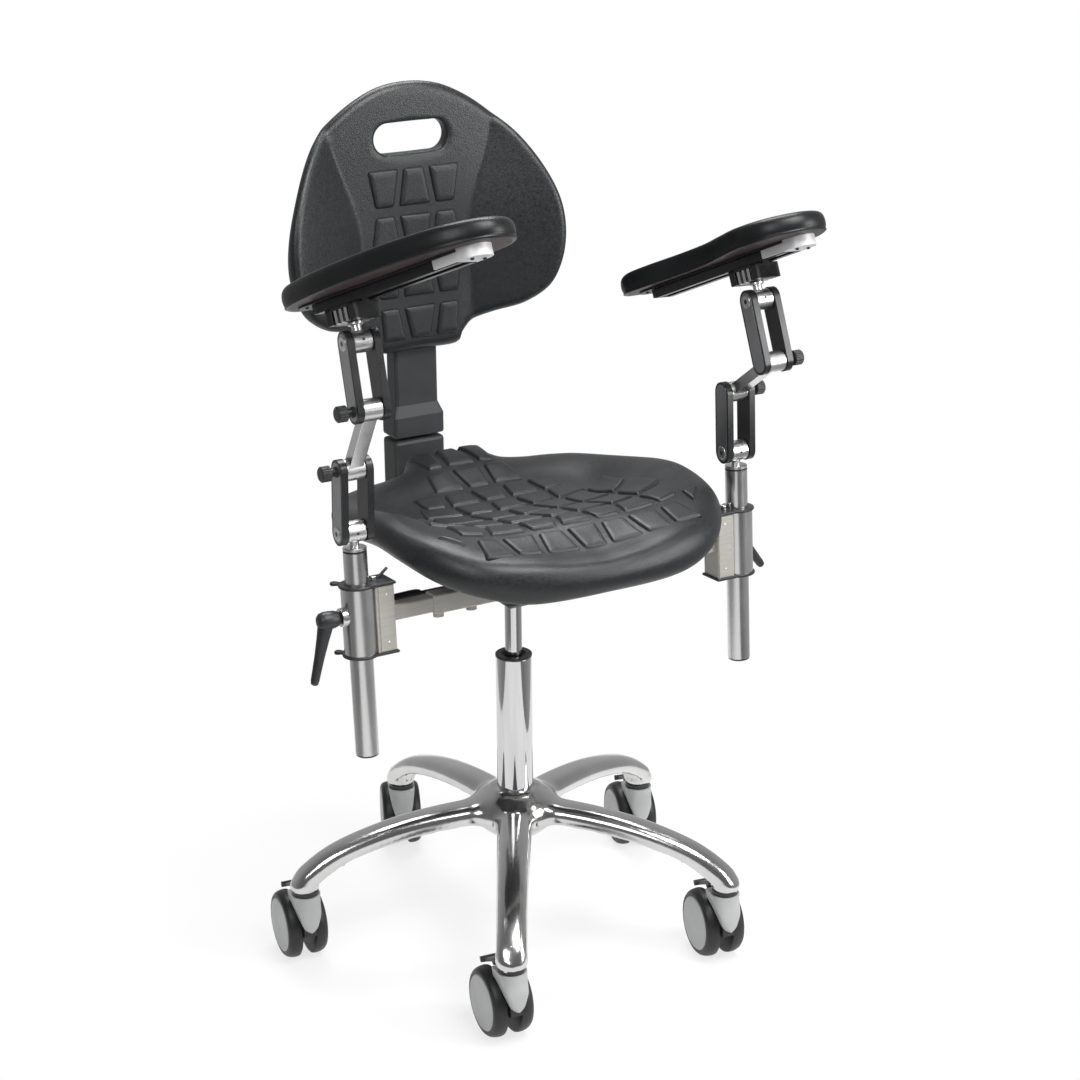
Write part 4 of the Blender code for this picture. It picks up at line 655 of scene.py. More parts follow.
def seat_tiles():
    """Corners of the seat's tiles, row by row, in the plane of the seat."""
    gap = sizes().tile_gap / 2
    for number, (rear, front, bow_rear, bow_front, lines) in enumerate(SEAT_ROWS):
        lines = [-x for x in reversed(lines)] + list(lines)
        for index, (left, right) in enumerate(zip(lines, lines[1:])):
            lean = SEAT_TILE_LEAN * (1 if (number + index) % 2 else -1)
            ends = []
            for x, shift in ((left, gap), (right, -gap)):
                turn, bow = lean if x == left else -lean, (x / SEAT_BOW_REACH) ** 2
                ends.append(((x * SEAT_TILE_SPREAD + shift - turn, front + bow_front * bow),
                             (x + shift + turn, rear + bow_rear * bow)))
            (a, b), (d, c) = ends
            yield a, d, c, b
    for side in (-1, 1):
        yield [(side * x, y) for x, y in SEAT_CORNER_TILE]


def back_half(z):
    """Half the width of the flat panel between the wings."""
    return BACK_PANEL[0] + (BACK_PANEL[1] - BACK_PANEL[0]) * smooth((z / BACK_HEIGHT - 0.42) / 0.50)


def back_face(x, z):
    """Depth of the back's front face behind the column."""
    wing = max(0.0, abs(x) - back_half(z)) / (BACK_HALF_WIDTH - BACK_PANEL[0])
    return BACK_DEPTH + z * math.tan(BACK_LEAN) - BACK_WING * (1 - (1 - min(1, wing)) ** 1.2)


def back_thick(z):
    return BACK_THICK[0] + (BACK_THICK[1] - BACK_THICK[0]) * smooth((z - 0.120) / (0.33 * BACK_HEIGHT))


def reach_of(loop, middle, angles):
    """Distance of an outline from a middle at the given angles."""
    arms = [Vector(point) - middle for point in loop]
    turns = np.array([math.atan2(arm.y, arm.x) for arm in arms])
    order = np.argsort(turns)
    lengths = np.array([arm.length for arm in arms])[order]
    return np.interp(angles, turns[order], lengths, period=2 * math.pi)


def hole_loop():
    """Outline of the hand hole round its own middle."""
    span, radius = (HOLE_LENGTH - HOLE_WIDTH) / 2, HOLE_WIDTH / 2
    hole = [(sign * span + radius * math.cos(turn), radius * math.sin(turn))
            for sign, start in ((1, -math.pi / 2), (-1, math.pi / 2))
            for turn in np.linspace(start, start + math.pi, 40)]
    return hole + [(x, sign * radius) for sign in (-1, 1) for x in np.linspace(-span, span, 60)]


def back_skin():
    """The moulded back round its hand hole, one closed loop of rings."""
    half = [(x * BACK_HALF_WIDTH, z * BACK_HEIGHT) for x, z in BACK_OUTLINE]
    middle = Vector((0, HOLE_HEIGHT))
    angles = np.linspace(-math.pi, math.pi, 320, endpoint=False)
    outer = reach_of(curve_through(half_to_loop(half), 24, closed=True), middle, angles)
    inner = reach_of(hole_loop(), Vector((0, 0)), angles)
    stations = [("in", *spot) for spot in BACK_HOLE_FRONT]
    stations += [("front", share, 0.0) for share in np.linspace(0.04, 0.96, 40)]
    stations += [("out", *spot) for spot in BACK_RIM]
    stations += [("rear", share, 1.0) for share in np.linspace(0.9, 0.05, 12)]
    stations += [("in", *spot) for spot in BACK_HOLE_REAR]
    rings = []
    for kind, value, deep in stations:
        ring = []
        for turn, near, far in zip(angles, inner, outer):
            low, high = near + BACK_FACE_START, far - (BACK_FACE_END if kind == "front" else BACK_REAR_END)
            away = {"in": near + value, "out": far - value}.get(kind, low + (high - low) * value)
            x, z = away * math.cos(turn), HOLE_HEIGHT + away * math.sin(turn)
            ring.append((COLUMN.x + x, COLUMN.y + back_face(x, z) + deep * back_thick(z),
                         BACK_BOTTOM + z))
        rings.append(ring)
    return skin(rings, "loop")


def back_lift(x, z, rise):
    """A point in front of the back's face."""
    slope_x, slope_z = slopes(back_face, x, z)
    spot = Vector((COLUMN.x + x, COLUMN.y + back_face(x, z), BACK_BOTTOM + z))
    return spot + Vector((slope_x, -1, slope_z)).normalized() * rise


# lower and upper edge of each row, from the top
BACK_ROWS = ((0.203, 0.254), (0.140, 0.191), (0.078, 0.128), (0.019, 0.064))
BACK_TILE_PITCH, BACK_TILE_HALF, BACK_TILE_LEAN, BACK_TILE_CUT = 0.046, 0.0185, 0.0045, 0.007


def back_tiles():
    """Corners of the back's tiles. The lowest row is cut back at its outer corners."""
    for number, (low, high) in enumerate(BACK_ROWS):
        for column in (-1, 0, 1):
            lean = BACK_TILE_LEAN * (1 if (number + column) % 2 else -1)
            middle, half = column * BACK_TILE_PITCH, BACK_TILE_HALF + (0.001 if column == 0 else 0)
            corners = [(middle - half + lean, low), (middle + half - lean, low),
                       (middle + half + lean, high), (middle - half - lean, high)]
            if number == len(BACK_ROWS) - 1 and column:
                corners[max(0, column)] = (middle + column * (half - BACK_TILE_CUT), low)
            yield corners


class STOOL_OT_seat(bpy.types.Operator):
    """Makes the moulded seat with its tiles"""
    bl_idname = "stool.seat"
    bl_label = "Seat"

    def execute(self, context):
        matrix = tilt_frame()
        shell = Shell().add(seat_skin(), matrix)
        for corners in seat_tiles():
            shell.add(tile(corners, seat_lift), matrix)
        seat = build("moulded_seat", shell, "seat", ["foam"], ["seat_cushion"])
        return {"FINISHED"}


class STOOL_OT_back(bpy.types.Operator):
    """Makes the moulded back with its tiles and hand hole"""
    bl_idname = "stool.back"
    bl_label = "Back"

    def execute(self, context):
        shell = Shell().add(back_skin())
        for corners in back_tiles():
            shell.add(tile(corners, back_lift))
        back = build("moulded_back", shell, "backrest", ["foam"], ["back_cushion"])
        return {"FINISHED"}


def carrier_frame(side):
    """Frame of a pad's carrier: Z up its pivot, Y along the pad."""
    up, lengthwise = joint_axis(f"{side}_pad_turn"), -joint_axis(f"{side}_pad_slide")
    return axes_at(joint_spot(f"{side}_pad_turn"), lengthwise.cross(up), up)


def pad_frame(side):
    """Frame of a pad: as its carrier's, at the middle of its plate."""
    matrix = carrier_frame(side)
    low, high = box_in(f"{side}_pad_plate", matrix)
    return matrix @ Matrix.Translation((0, (low.y + high.y) / 2, high.z))


class STOOL_OT_arm_pads(bpy.types.Operator):
    """Makes the two moulded arm pads with their boards"""
    bl_idname = "stool.arm_pads"
    bl_label = "Arm pads"

    def execute(self, context):
        for side, sign in SIDES:
            loop = curve_through([(u * PAD_WIDTH * sign, -v * PAD_LENGTH) for u, v in PAD_OUTLINE],
                                 10, closed=True)
            rings = []
            for share, height in curve_through(PAD_EDGE, 5):
                rings.append([(x * share, y * share, PAD_HEIGHT * height) for x, y in loop])
            points, faces = skin(rings, "fan")
            shell = Shell().add((points, faces), pad_frame(side))
            shell.marks = [int(all(points[index].z < 0.0004 for index in face)) for face in faces]
            pad = build(f"{side}_moulded_pad", shell, f"{side}_pad", ["pad skin", "board"],
                        [f"{side}_arm_pad"])
        return {"FINISHED"}


def circle(radius, sides):
    return [(radius * math.cos(turn), radius * math.sin(turn))
            for turn in np.linspace(0, math.tau, sides, endpoint=False)]


def lathe(profile, sides=64, ends="fan"):
    """A round body along Z from its outline of radius and height, closed at both ends."""
    return skin([[(*spot, height) for spot in circle(radius, sides)] for radius, height in profile], ends)


def pipe(profile, sides=64):
    """A round body with a bore, from the closed outline of its wall."""
    return lathe(profile, sides, "loop")


def prism(outline, low, high):
    return skin([[(x, y, z) for x, y in outline] for z in (low, high)])


def block(low, high):
    (a, b, c), (d, e, f) = low, high
    return prism(((a, b), (d, b), (d, e), (a, e)), c, f)


def stadium(half, start, end, steps=14):
    """Outline of a strap along Y with round ends."""
    turns = [math.pi * step / steps for step in range(steps + 1)]
    return ([(half * math.cos(t), end + half * math.sin(t)) for t in turns]
            + [(-half * math.cos(t), start - half * math.sin(t)) for t in turns])


# Z of a drawn piece goes along X, its X along Y and its Y along Z
ACROSS = Matrix(((0, 0, 1, 0), (1, 0, 0, 0), (0, 1, 0, 0), (0, 0, 0, 1)))


def repeat_tree(name, layout, shape, inputs):
    """A node tree that puts one small shape on each point of a ring or a row.

    inputs holds the named sizes: (name, kind, default, target node, target socket)."""
    tree = bpy.data.node_groups.new(name, "GeometryNodeTree")
    tree.interface.new_socket("Geometry", in_out="OUTPUT", socket_type="NodeSocketGeometry")
    entry, end = tree.nodes.new("NodeGroupInput"), tree.nodes.new("NodeGroupOutput")
    points, small = tree.nodes.new(layout), tree.nodes.new(shape)
    spread = tree.nodes.new("GeometryNodeInstanceOnPoints")
    solid, coat = tree.nodes.new("GeometryNodeRealizeInstances"), tree.nodes.new("GeometryNodeSetMaterial")
    for label, kind, default, target, socket in (*inputs, ("Finish", "Material", None, "coat", "Material")):
        entered = tree.interface.new_socket(label, in_out="INPUT", socket_type=f"NodeSocket{kind}")
        if default is not None:
            entered.default_value = default
        target = {"points": points, "shape": small, "coat": coat}[target]
        tree.links.new(entry.outputs[label], target.inputs[socket])
    for source, target, socket in ((points, spread, "Points"), (small, spread, "Instance"),
                                   (spread, solid, "Geometry"), (solid, coat, "Geometry"),
                                   (coat, end, "Geometry")):
        tree.links.new(source.outputs[0], target.inputs[socket])
    return tree


@functools.cache
def ring_of_ribs():
    return repeat_tree("ring of ribs", "GeometryNodeMeshCircle", "GeometryNodeMeshCylinder", (
        ("Count", "Int", 16, "points", "Vertices"), ("Ring radius", "Float", 0.01, "points", "Radius"),
        ("Rib sides", "Int", 8, "shape", "Vertices"), ("Rib radius", "Float", 0.001, "shape", "Radius"),
        ("Rib length", "Float", 0.01, "shape", "Depth")))


@functools.cache
def row_of_heads():
    return repeat_tree("row of screw heads", "GeometryNodeMeshLine", "GeometryNodeMeshUVSphere", (
        ("Count", "Int", 2, "points", "Count"), ("First", "Vector", (0, 0, 0), "points", "Start Location"),
        ("Step", "Vector", (0, 0, 0.01), "points", "Offset"), ("Segments", "Int", 16, "shape", "Segments"),
        ("Rings", "Int", 8, "shape", "Rings"), ("Head radius", "Float", 0.002, "shape", "Radius")))


@functools.cache
def row_of_fins():
    return repeat_tree("row of fins", "GeometryNodeMeshLine", "GeometryNodeMeshCube", (
        ("Count", "Int", 4, "points", "Count"), ("First", "Vector", (0, 0, 0), "points", "Start Location"),
        ("Step", "Vector", (0, 0.01, 0), "points", "Offset"),
        ("Fin size", "Vector", (0.01, 0.004, 0.02), "shape", "Size")))


def repeated(name, tree, values, matrix, body, coat):
    """Runs a repeat tree and keeps its result as a plain piece on a body."""
    piece = bpy.data.objects.new(name, bpy.data.meshes.new(name))
    bpy.context.scene.collection.objects.link(piece)
    modifier = piece.modifiers.new("repeat", "NODES")
    modifier.node_group = tree
    named = {item.name: item.identifier for item in tree.interface.items_tree if item.in_out == "INPUT"}
    for label, value in {**values, "Finish": finish(coat)}.items():
        modifier[named[label]] = value
    mesh = bpy.data.meshes.new_from_object(
        piece.evaluated_get(bpy.context.evaluated_depsgraph_get()))
    if not mesh.polygons:
        raise RuntimeError(f"{name} came out empty")
    piece.modifiers.remove(modifier)
    mesh.transform(matrix)
    if matrix.is_negative:
        mesh.flip_normals()
    mesh.shade_smooth()
    mesh.set_sharp_from_angle(angle=math.radians(40))
    piece.data = mesh
    hand_over(piece, body)
    return piece


LEG_REACH, LEG_HALF, LEG_HALF_END = 0.300, 0.0245, 0.0202
LEG_CROWN, LEG_RISE, LEG_ARCH = 0.2093, 0.055, 2.8
LEG_DEEP, LEG_FILLET, LEG_NOSE = 0.025, 0.012, 0.008
SOCKET_RIM, SOCKET_RADIUS, SOCKET_TALL = 0.1143, 0.0195, 0.010
LEG_END_START, LEG_END_LENGTH, LEG_END_FALL = 0.250, 0.0715, 0.026
LEG_DROP = 0.8  # share of the reach from which the underside comes down to the socket
LEG_ROUND = 0.65  # share of the leg's height, from the top, that is rounded
HUB_PROFILE = ((0.1633, 0.0422), (0.1806, 0.0440), (0.1978, 0.0410), (0.2080, 0.0365), (0.2150, 0.0312),
               (0.2195, 0.0272))
# the curve of a leg's cut: powers across, upwards and of both, and what brings it near a distance
LEG_ACROSS, LEG_UPWARDS, LEG_CURVE, LEG_NEAR = 2.7, 2.3, 2.5, 0.85
HUB_BLEND, SOCKET_BLEND = 0.024, 0.006
BASE_VOXEL = 0.0023
# the outer faces, which are fitted to the form: how near it, how well aligned, or how far outside it
BASE_NEAR, BASE_FACING, BASE_OUTSIDE = 0.040, 0.3, 0.0004
# whether a pass evens the mesh out, and whether it fits it to the form
BASE_PASSES = [(True, True)] * 14 + [(False, True)] * 4 + [(True, False)] * 8


def soft_low(first, second, blend):
    """The lower of two fields, run together over a width."""
    share = np.clip(0.5 + 0.5 * (second - first) / blend, 0, 1)
    return second + (first - second) * share - blend * share * (1 - share)


def base_field(points):
    """How far points lie outside the cast base: hub, arched legs and sockets in one flowing form."""
    x, y, z = points[:, 0] - COLUMN.x, points[:, 1] - COLUMN.y, points[:, 2]
    heights, radii = zip(*HUB_PROFILE)
    field = np.hypot(x, y) - np.interp(z, heights, radii)
    field = np.maximum(field, np.maximum(heights[0] - z, z - heights[-1]))
    for number in CASTERS:
        stem = joint_spot(f"caster_{number}_swivel").xy - COLUMN
        turn = math.atan2(stem.y, stem.x)
        out = x * math.cos(turn) + y * math.sin(turn)
        wide = np.abs(y * math.cos(turn) - x * math.sin(turn))
        share = np.clip(out / LEG_REACH, 0, 1)
        nose = np.clip((out - LEG_REACH) / LEG_HALF_END, 0, 0.995)
        taper = np.sqrt(1 - nose ** 2)
        half = (LEG_HALF + (LEG_HALF_END - LEG_HALF) * share ** 2 * (3 - 2 * share)) * taper
        plain = LEG_CROWN - LEG_RISE * share ** LEG_ARCH - LEG_NOSE * (nose + 1 - taper)
        bend = np.clip((out - LEG_END_START) / LEG_END_LENGTH, 0, 0.99)
        crown = plain - LEG_END_FALL * (1 - np.sqrt(1 - bend ** 2))
        drop = np.clip((share - LEG_DROP) / (1 - LEG_DROP), 0, 1)
        foot = plain - LEG_DEEP * (1 - 0.3 * nose) - LEG_FILLET * drop ** 2 * (3 - 2 * drop)
        tall = (crown - foot) * LEG_ROUND
        high = np.clip((z - crown + tall) / tall, 0, None)
        ring = ((wide / half) ** LEG_ACROSS + high ** LEG_UPWARDS) ** (1 / LEG_CURVE)
        leg = np.maximum((ring - 1) * np.minimum(half, tall) * LEG_NEAR, foot - z)
        leg = np.maximum(leg, np.maximum(out - LEG_REACH - LEG_HALF_END, -out))
        socket = np.hypot(out - LEG_REACH, wide) - SOCKET_RADIUS
        socket = np.maximum(socket, np.maximum(SOCKET_RIM - z, z - SOCKET_RIM - SOCKET_TALL))
        field = soft_low(field, soft_low(leg, socket, SOCKET_BLEND), HUB_BLEND)
    return field


def base_slope(points, step=0.0004):
    slope = np.empty_like(points)
    for axis in range(3):
        shift = np.zeros(3)
        shift[axis] = step
        slope[:, axis] = (base_field(points + shift) - base_field(points - shift)) / (2 * step)
    return slope


def even_mesh(name, node, voxel):
    """A new object with a CAD node's form in small even faces."""
    mesh = frame["nodes"][node].data.copy()
    work = bmesh.new()
    work.from_mesh(mesh)
    bmesh.ops.remove_doubles(work, verts=work.verts, dist=0.00001)
    work.to_mesh(mesh)
    work.free()
    piece = bpy.data.objects.new(name, mesh)
    bpy.context.scene.collection.objects.link(piece)
    remesh = piece.modifiers.new("even mesh", "REMESH")
    remesh.mode, remesh.voxel_size = "VOXEL", voxel
    mesh = bpy.data.meshes.new_from_object(piece.evaluated_get(bpy.context.evaluated_depsgraph_get()))
    piece.modifiers.remove(remesh)
    piece.data = mesh
    return piece


def rows(items, name, width, kind=float):
    """A property of a mesh's vertices or edges, one row for each."""
    numbers = np.empty(len(items) * width, kind)
    items.foreach_get(name, numbers)
    return numbers.reshape(-1, width)


def neighbour_means(spots, edges):
    total, links = np.zeros_like(spots), np.zeros(len(spots))
    for here, there in (edges.T, edges.T[::-1]):
        np.add.at(total, here, spots[there])
        np.add.at(links, here, 1)
    return total / links[:, None]


def onto_field(spots, furthest=0.004):
    """Points moved towards the surface of the cast form."""
    slope = base_slope(spots)
    push = base_field(spots) / np.maximum(0.2, (slope ** 2).sum(1))
    return spots - np.clip(push, -furthest, furthest)[:, None] * slope


class STOOL_OT_star_base(bpy.types.Operator):
    """Makes the cast star base, with its legs run into the hub and the sockets"""
    bl_idname = "stool.star_base"
    bl_label = "Star base"

    def execute(self, context):
        piece = even_mesh("cast_star_base", "star_base", BASE_VOXEL)
        mesh = piece.data
        spots, out = rows(mesh.vertices, "co", 3), rows(mesh.vertices, "normal", 3)
        edges = rows(mesh.edges, "vertices", 2, int)
        slope, field = base_slope(spots), base_field(spots)
        facing = np.einsum("ij,ij->i", slope, out) / np.maximum(1e-6, np.linalg.norm(slope, axis=1))
        near = (np.abs(field) < BASE_NEAR) & (facing > BASE_FACING) | (field > BASE_OUTSIDE)
        for even, fit in BASE_PASSES:
            if even:
                spots[near] += 0.5 * (neighbour_means(spots, edges) - spots)[near]
            if fit:
                spots[near] = onto_field(spots[near])
        mesh.vertices.foreach_set("co", spots.ravel())
        mesh.update()
        mesh.shade_smooth()
        mesh.materials.clear()
        mesh.materials.append(finish("polished"))
        hand_over(piece, "base", ["star_base"])
        return {"FINISHED"}


TUBE_WALL, COLLAR_TALL, COLLAR_DEEP, ROD_BORE = 0.0024, 0.0030, 0.012, 0.0122


class STOOL_OT_column(bpy.types.Operator):
    """Makes the chromed column tube and its collar"""
    bl_idname = "stool.column"
    bl_label = "Column"

    def execute(self, context):
        place = Matrix.Translation((*COLUMN, 0))
        low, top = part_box("column_tube")[0].z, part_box("column_bush")[1].z
        radius = (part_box("column_tube")[1].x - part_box("column_tube")[0].x) / 2
        edge, foot = top - COLLAR_TALL, top - COLLAR_TALL - COLLAR_DEEP
        shell = Shell().add(pipe(((radius, low), (radius, edge), (radius - TUBE_WALL, edge),
                                  (radius - TUBE_WALL, low)), 96), place)
        build("column_sleeve", shell, "base", ["chrome"], ["column_tube"], bevel=0.0006)
        shell = Shell().add(pipe((
            (radius + 0.0003, edge), (radius + 0.0003, top - 0.0006), (radius - 0.0006, top),
            (0.0165, top - 0.0002), (0.0152, top - 0.0030), (ROD_BORE, top - 0.0034),
            (ROD_BORE, foot), (radius - 0.0026, foot), (radius - 0.0026, edge)), 96), place)
        build("column_collar", shell, "base", ["black plastic"], ["column_bush"],
              sharp=35)
        return {"FINISHED"}


def bar(path, sides=24):
    """A bent round bar through points, each with its radius."""
    spots = [Vector(spot) for *spot, _ in path]
    rings = []
    for index, (*_, radius) in enumerate(path):
        run = spots[min(index + 1, len(spots) - 1)] - spots[max(index - 1, 0)]
        around = axes_at(spots[index], (0, 1, 0), run)
        rings.append([around @ Vector((*spot, 0)) for spot in circle(radius, sides)])
    return skin(rings, "fan")


# in the plane of the lever: its bent rod, its bored boss, and the radii along its grip
ROD_BEND = ((-0.0055, 0.0), (-0.030, 0.0012), (-0.050, 0.0060), (-0.072, 0.0078), (-0.106, 0.0078))
ROD_RADIUS = 0.0034
ROD_BOSS = ((0.0033, -0.005), (0.0070, -0.005), (0.0070, 0.005), (0.0033, 0.005))
ROD_GRIP = ((-0.102, 0.0040), (-0.104, 0.0056), (-0.109, 0.0068), (-0.118, 0.0070), (-0.140, 0.0064),
            (-0.150, 0.0064), (-0.1535, 0.0054), (-0.155, 0.0036))


class STOOL_OT_height_lever(bpy.types.Operator):
    """Makes the bent lever that frees the column"""
    bl_idname = "stool.height_lever"
    bl_label = "Height lever"

    def execute(self, context):
        place = axes_at(joint_spot("height_lever_lift"), (1, 0, 0), (0, 0, 1))
        shell = Shell().add(pipe(ROD_BOSS, 40), place @ Matrix.Rotation(math.pi / 2, 4, "X"))
        shell.add(bar([(x, 0, z, ROD_RADIUS) for x, z in curve_through(ROD_BEND, 6)]), place)
        shell.add(bar([(x, 0, ROD_BEND[-1][1], radius) for x, radius in ROD_GRIP]), place)
        build("height_lever_bar", shell, "height_lever", ["black plastic"],
              ["height_lever"], sharp=40)
        return {"FINISHED"}


WHEEL_TYRE = ((0.0376, 0.0282), (0.0400, 0.0283), (0.0428, 0.0272), (0.0450, 0.0248),
              (0.0465, 0.0212), (0.0473, 0.0170), (0.0474, 0.0130), (0.0468, 0.0104),
              (0.0452, 0.0092), (0.0400, 0.0090), (0.0376, 0.0090))
WHEEL_HUB = ((0.0150, 0.0092), (0.0376, 0.0092), (0.0376, 0.0205), (0.0150, 0.0210))
WHEEL_DISC = ((0.0150, 0.0195), (0.0376, 0.0200), (0.0376, 0.0270), (0.0373, 0.0279),
              (0.0366, 0.0286), (0.0340, 0.0289), (0.0200, 0.0290), (0.0060, 0.0288))
HOOD_TOP, HOOD_LOW, AXLE_HEIGHT, TRAIL, WHEEL_REACH = 0.1075, 0.0570, 0.0475, 0.035, 0.049
# the hood's tip: where it starts to round off, and its reach squared. Then its taper and its nose
HOOD_TIP_START, HOOD_TIP_SQUARE, HOOD_TAPER, HOOD_NOSE, HOOD_STEPS = 0.86, 0.0205, 0.60, 0.004, 24
HOOD_CUTS = (1.0, 0.99, 0.97, 0.94, 0.90, *np.linspace(0.86, 0.08, 14), 0.03, 0)
STEM_RING = ((0.0172, 0.1070), (0.0178, 0.1080), (0.0178, 0.1136), (0.0172, 0.1142))
# the web between the wheels from the side: distance behind the stem, height
CASTER_WEB = ((-0.0155, 0.0475), (TRAIL, 0.0335), (TRAIL + 0.014, 0.0475), (TRAIL + 0.013, 0.0870),
              (0.0155, 0.0985), (-0.0135, 0.1045))
CASTER_WEB_HALF = 0.0085


def hood_ring(share):
    """A cut through the caster's hood: round at its nose, flat towards the wheels."""
    height = HOOD_TOP - (HOOD_TOP - HOOD_LOW) * share
    tip = math.sqrt(max(0.0, 1 - max(0, share - HOOD_TIP_START) ** 2 / HOOD_TIP_SQUARE))
    half = SOCKET_RADIUS * (1 - HOOD_TAPER * share ** 1.5) * tip
    nose = -SOCKET_RADIUS - HOOD_NOSE * smooth(share * 1.5)
    over = height - AXLE_HEIGHT
    rear = TRAIL - math.sqrt(WHEEL_REACH ** 2 - over ** 2) if abs(over) < WHEEL_REACH else SOCKET_RADIUS
    rear = max(nose + 0.006, min(SOCKET_RADIUS, rear))
    deep = min(0.6 * (rear - nose), max(0.0045, 0.95 * SOCKET_RADIUS * (1 - smooth(share * 1.3))))
    ring = []
    for step in range(HOOD_STEPS + 1):
        turn = math.pi * (step / HOOD_STEPS - 0.5)
        ring.append((nose + deep * (1 - math.cos(turn) ** 0.9), half * math.sin(turn), height))
    return ring + [(rear, half, height), (rear, -half, height)]


class STOOL_OT_casters(bpy.types.Operator):
    """Makes the hoods and the twin wheels of the casters"""
    bl_idname = "stool.casters"
    bl_label = "Casters"

    def execute(self, context):
        for number in CASTERS:
            name = f"caster_{number}"
            stem, axle = joint_spot(f"{name}_swivel"), joint_spot(f"{name}_roll")
            place = axes_at((stem.x, stem.y, 0), (axle - stem) * Vector((1, 1, 0)), (0, 0, 1))
            shell = Shell().add(skin([hood_ring(share) for share in HOOD_CUTS], "fan"), place)
            shell.add(lathe(STEM_RING), place, 1)
            shell.add(prism([(x, -z) for x, z in CASTER_WEB], -CASTER_WEB_HALF, CASTER_WEB_HALF),
                      place @ Matrix.Rotation(-math.pi / 2, 4, "X"), 1)
            build(f"{name}_hood", shell, name, ["grey plastic", "black plastic"],
                  [f"{name}_housing"], sharp=38)
            place = axes_at(axle, (0, 0, 1), joint_axis(f"{name}_roll"))
            shell = Shell()
            for turned in (place, place @ Matrix.Rotation(math.pi, 4, "X")):
                shell.add(pipe(WHEEL_TYRE, 96), turned)
                shell.add(lathe(WHEEL_HUB, 96), turned)
                shell.add(lathe(WHEEL_DISC, 96), turned, 1)
            shell.add(lathe(((0.005, -0.02), (0.005, 0.02)), 24), place)
            build(f"{name}_tyres", shell, f"{name}_wheels", ["tyre", "grey plastic"],
                  [f"{name}_wheels"], sharp=40)
        return {"FINISHED"}


ARM_X, ARM_Y, CLAMP_TOP, CLAMP_TALL = 0.282, -0.117, 0.061, 0.094
CLAMP_RADIUS, CLAMP_END, CLAMP_HALF = 0.021, 0.042, 0.017
CLAMP_LOW, CLAMP_HIGH, CAP_TALL = -0.0905, -0.0035, 0.004
LEVER_RISE, LEVER_LENGTH = 0.018, 0.0830
LEVER_HEAD = ((0.0070, 0.0003), (0.0092, 0.0030), (0.0108, 0.0075), (0.0116, 0.0140), (0.0116, 0.0215),
              (0.0104, 0.0262), (0.0078, 0.0290), (0.0040, 0.0301))
LEVER_GRIP = ((0, 0.0098), (0.12, 0.0095), (0.3, 0.0080), (0.55, 0.0066), (0.8, 0.0058), (0.93, 0.0055),
              (0.98, 0.0047), (1.0, 0.0028))
MAST_RADIUS, MAST_LENGTH, EYE_RISE = 0.015, 0.270, 0.024
EYE_RADIUS, EYE_HALF, EYE_BORE, EYE_CHAMFER, STUD_RADIUS = 0.0135, 0.0123, 0.0052, 0.0008, 0.0059
SET_SCREW = ((0.0017, 0.012), (0.0017, 0.01356))
STRAP_IN, STRAP_OUT, STRAP_HALF, STRAP_FACE = 0.0128, 0.0217, 0.015, 0.0220
KNOB_PROFILE = ((0.0068, 0.0), (0.0068, 0.0016), (0.0052, 0.0026), (0.0052, 0.0070), (0.0078, 0.0080),
                (0.0090, 0.0088), (0.0090, 0.0206), (0.0080, 0.0216), (0.0045, 0.0218))


def clamp_outline(grow):
    """The clamp from above: a barrel round the mast and a block towards the seat."""
    radius, half, end = CLAMP_RADIUS + grow, CLAMP_HALF + grow, CLAMP_END + grow
    start = math.asin(half / radius)
    turns = [start + (math.tau - 2 * start) * step / 48 for step in range(49)]
    return [(radius * math.cos(t), radius * math.sin(t)) for t in turns] + [(end, -half), (end, half)]


def clamp_body(place):
    """The clamp's barrel and block between its two caps, with the mast's bore through all of them."""
    shell, bore = Shell(), MAST_RADIUS + 0.0003
    shell.add(pipe(((bore, CLAMP_LOW), (CLAMP_RADIUS, CLAMP_LOW), (CLAMP_RADIUS, CLAMP_HIGH),
                    (bore, CLAMP_HIGH)), 72), place)
    shell.add(block((0.0165, -CLAMP_HALF, CLAMP_LOW), (CLAMP_END, CLAMP_HALF, CLAMP_HIGH)), place, 1)
    shell.add(block((0.0200, -CLAMP_HALF - 0.0012, CLAMP_LOW + 0.0015),
                    (CLAMP_END - 0.0012, CLAMP_HALF + 0.0012, CLAMP_HIGH - 0.0015)), place, 1)
    hole = [Vector(point).normalized() * bore for point in clamp_outline(0)]
    ear = place @ Matrix.Rotation(math.radians(-45), 4, "Z")
    for low in (-CLAMP_TALL, -CAP_TALL):
        rings = [[(x, y, low + rise) for x, y in clamp_outline(grow)] for grow, rise in (
            (0.0014, 0), (0.0025, 0.0010), (0.0025, 0.0030), (0.0014, CAP_TALL))]
        rings += [[(x, y, z) for x, y in hole] for z in (low + CAP_TALL, low)]
        shell.add(skin(rings, "loop"), place, 2)
        shell.add(block((-0.0300, -0.0042, low + 0.0004), (-0.0200, 0.0042, low + 0.0036)), ear, 2)
        shell.add(lathe(((0.0046, low), (0.0054, low + 0.0008), (0.0054, low + 0.0032),
                         (0.0046, low + CAP_TALL)), 32), ear @ Matrix.Translation((-0.0300, 0, 0)), 2)
    shell.add(lathe(((0.0042, -0.001), (0.0042, 0.0052), (0.0034, 0.0060)), 32),
              place @ Matrix.Translation((0.0225, -0.002, 0)))
    shell.add(lathe(((0.0019, -0.004), (0.0019, 0.0170), (0.0012, 0.0182)), 20),
              place @ Matrix.Translation((0.0300, 0.004, 0)) @ Matrix.Rotation(0.9, 4, "Y"), 2)
    return shell


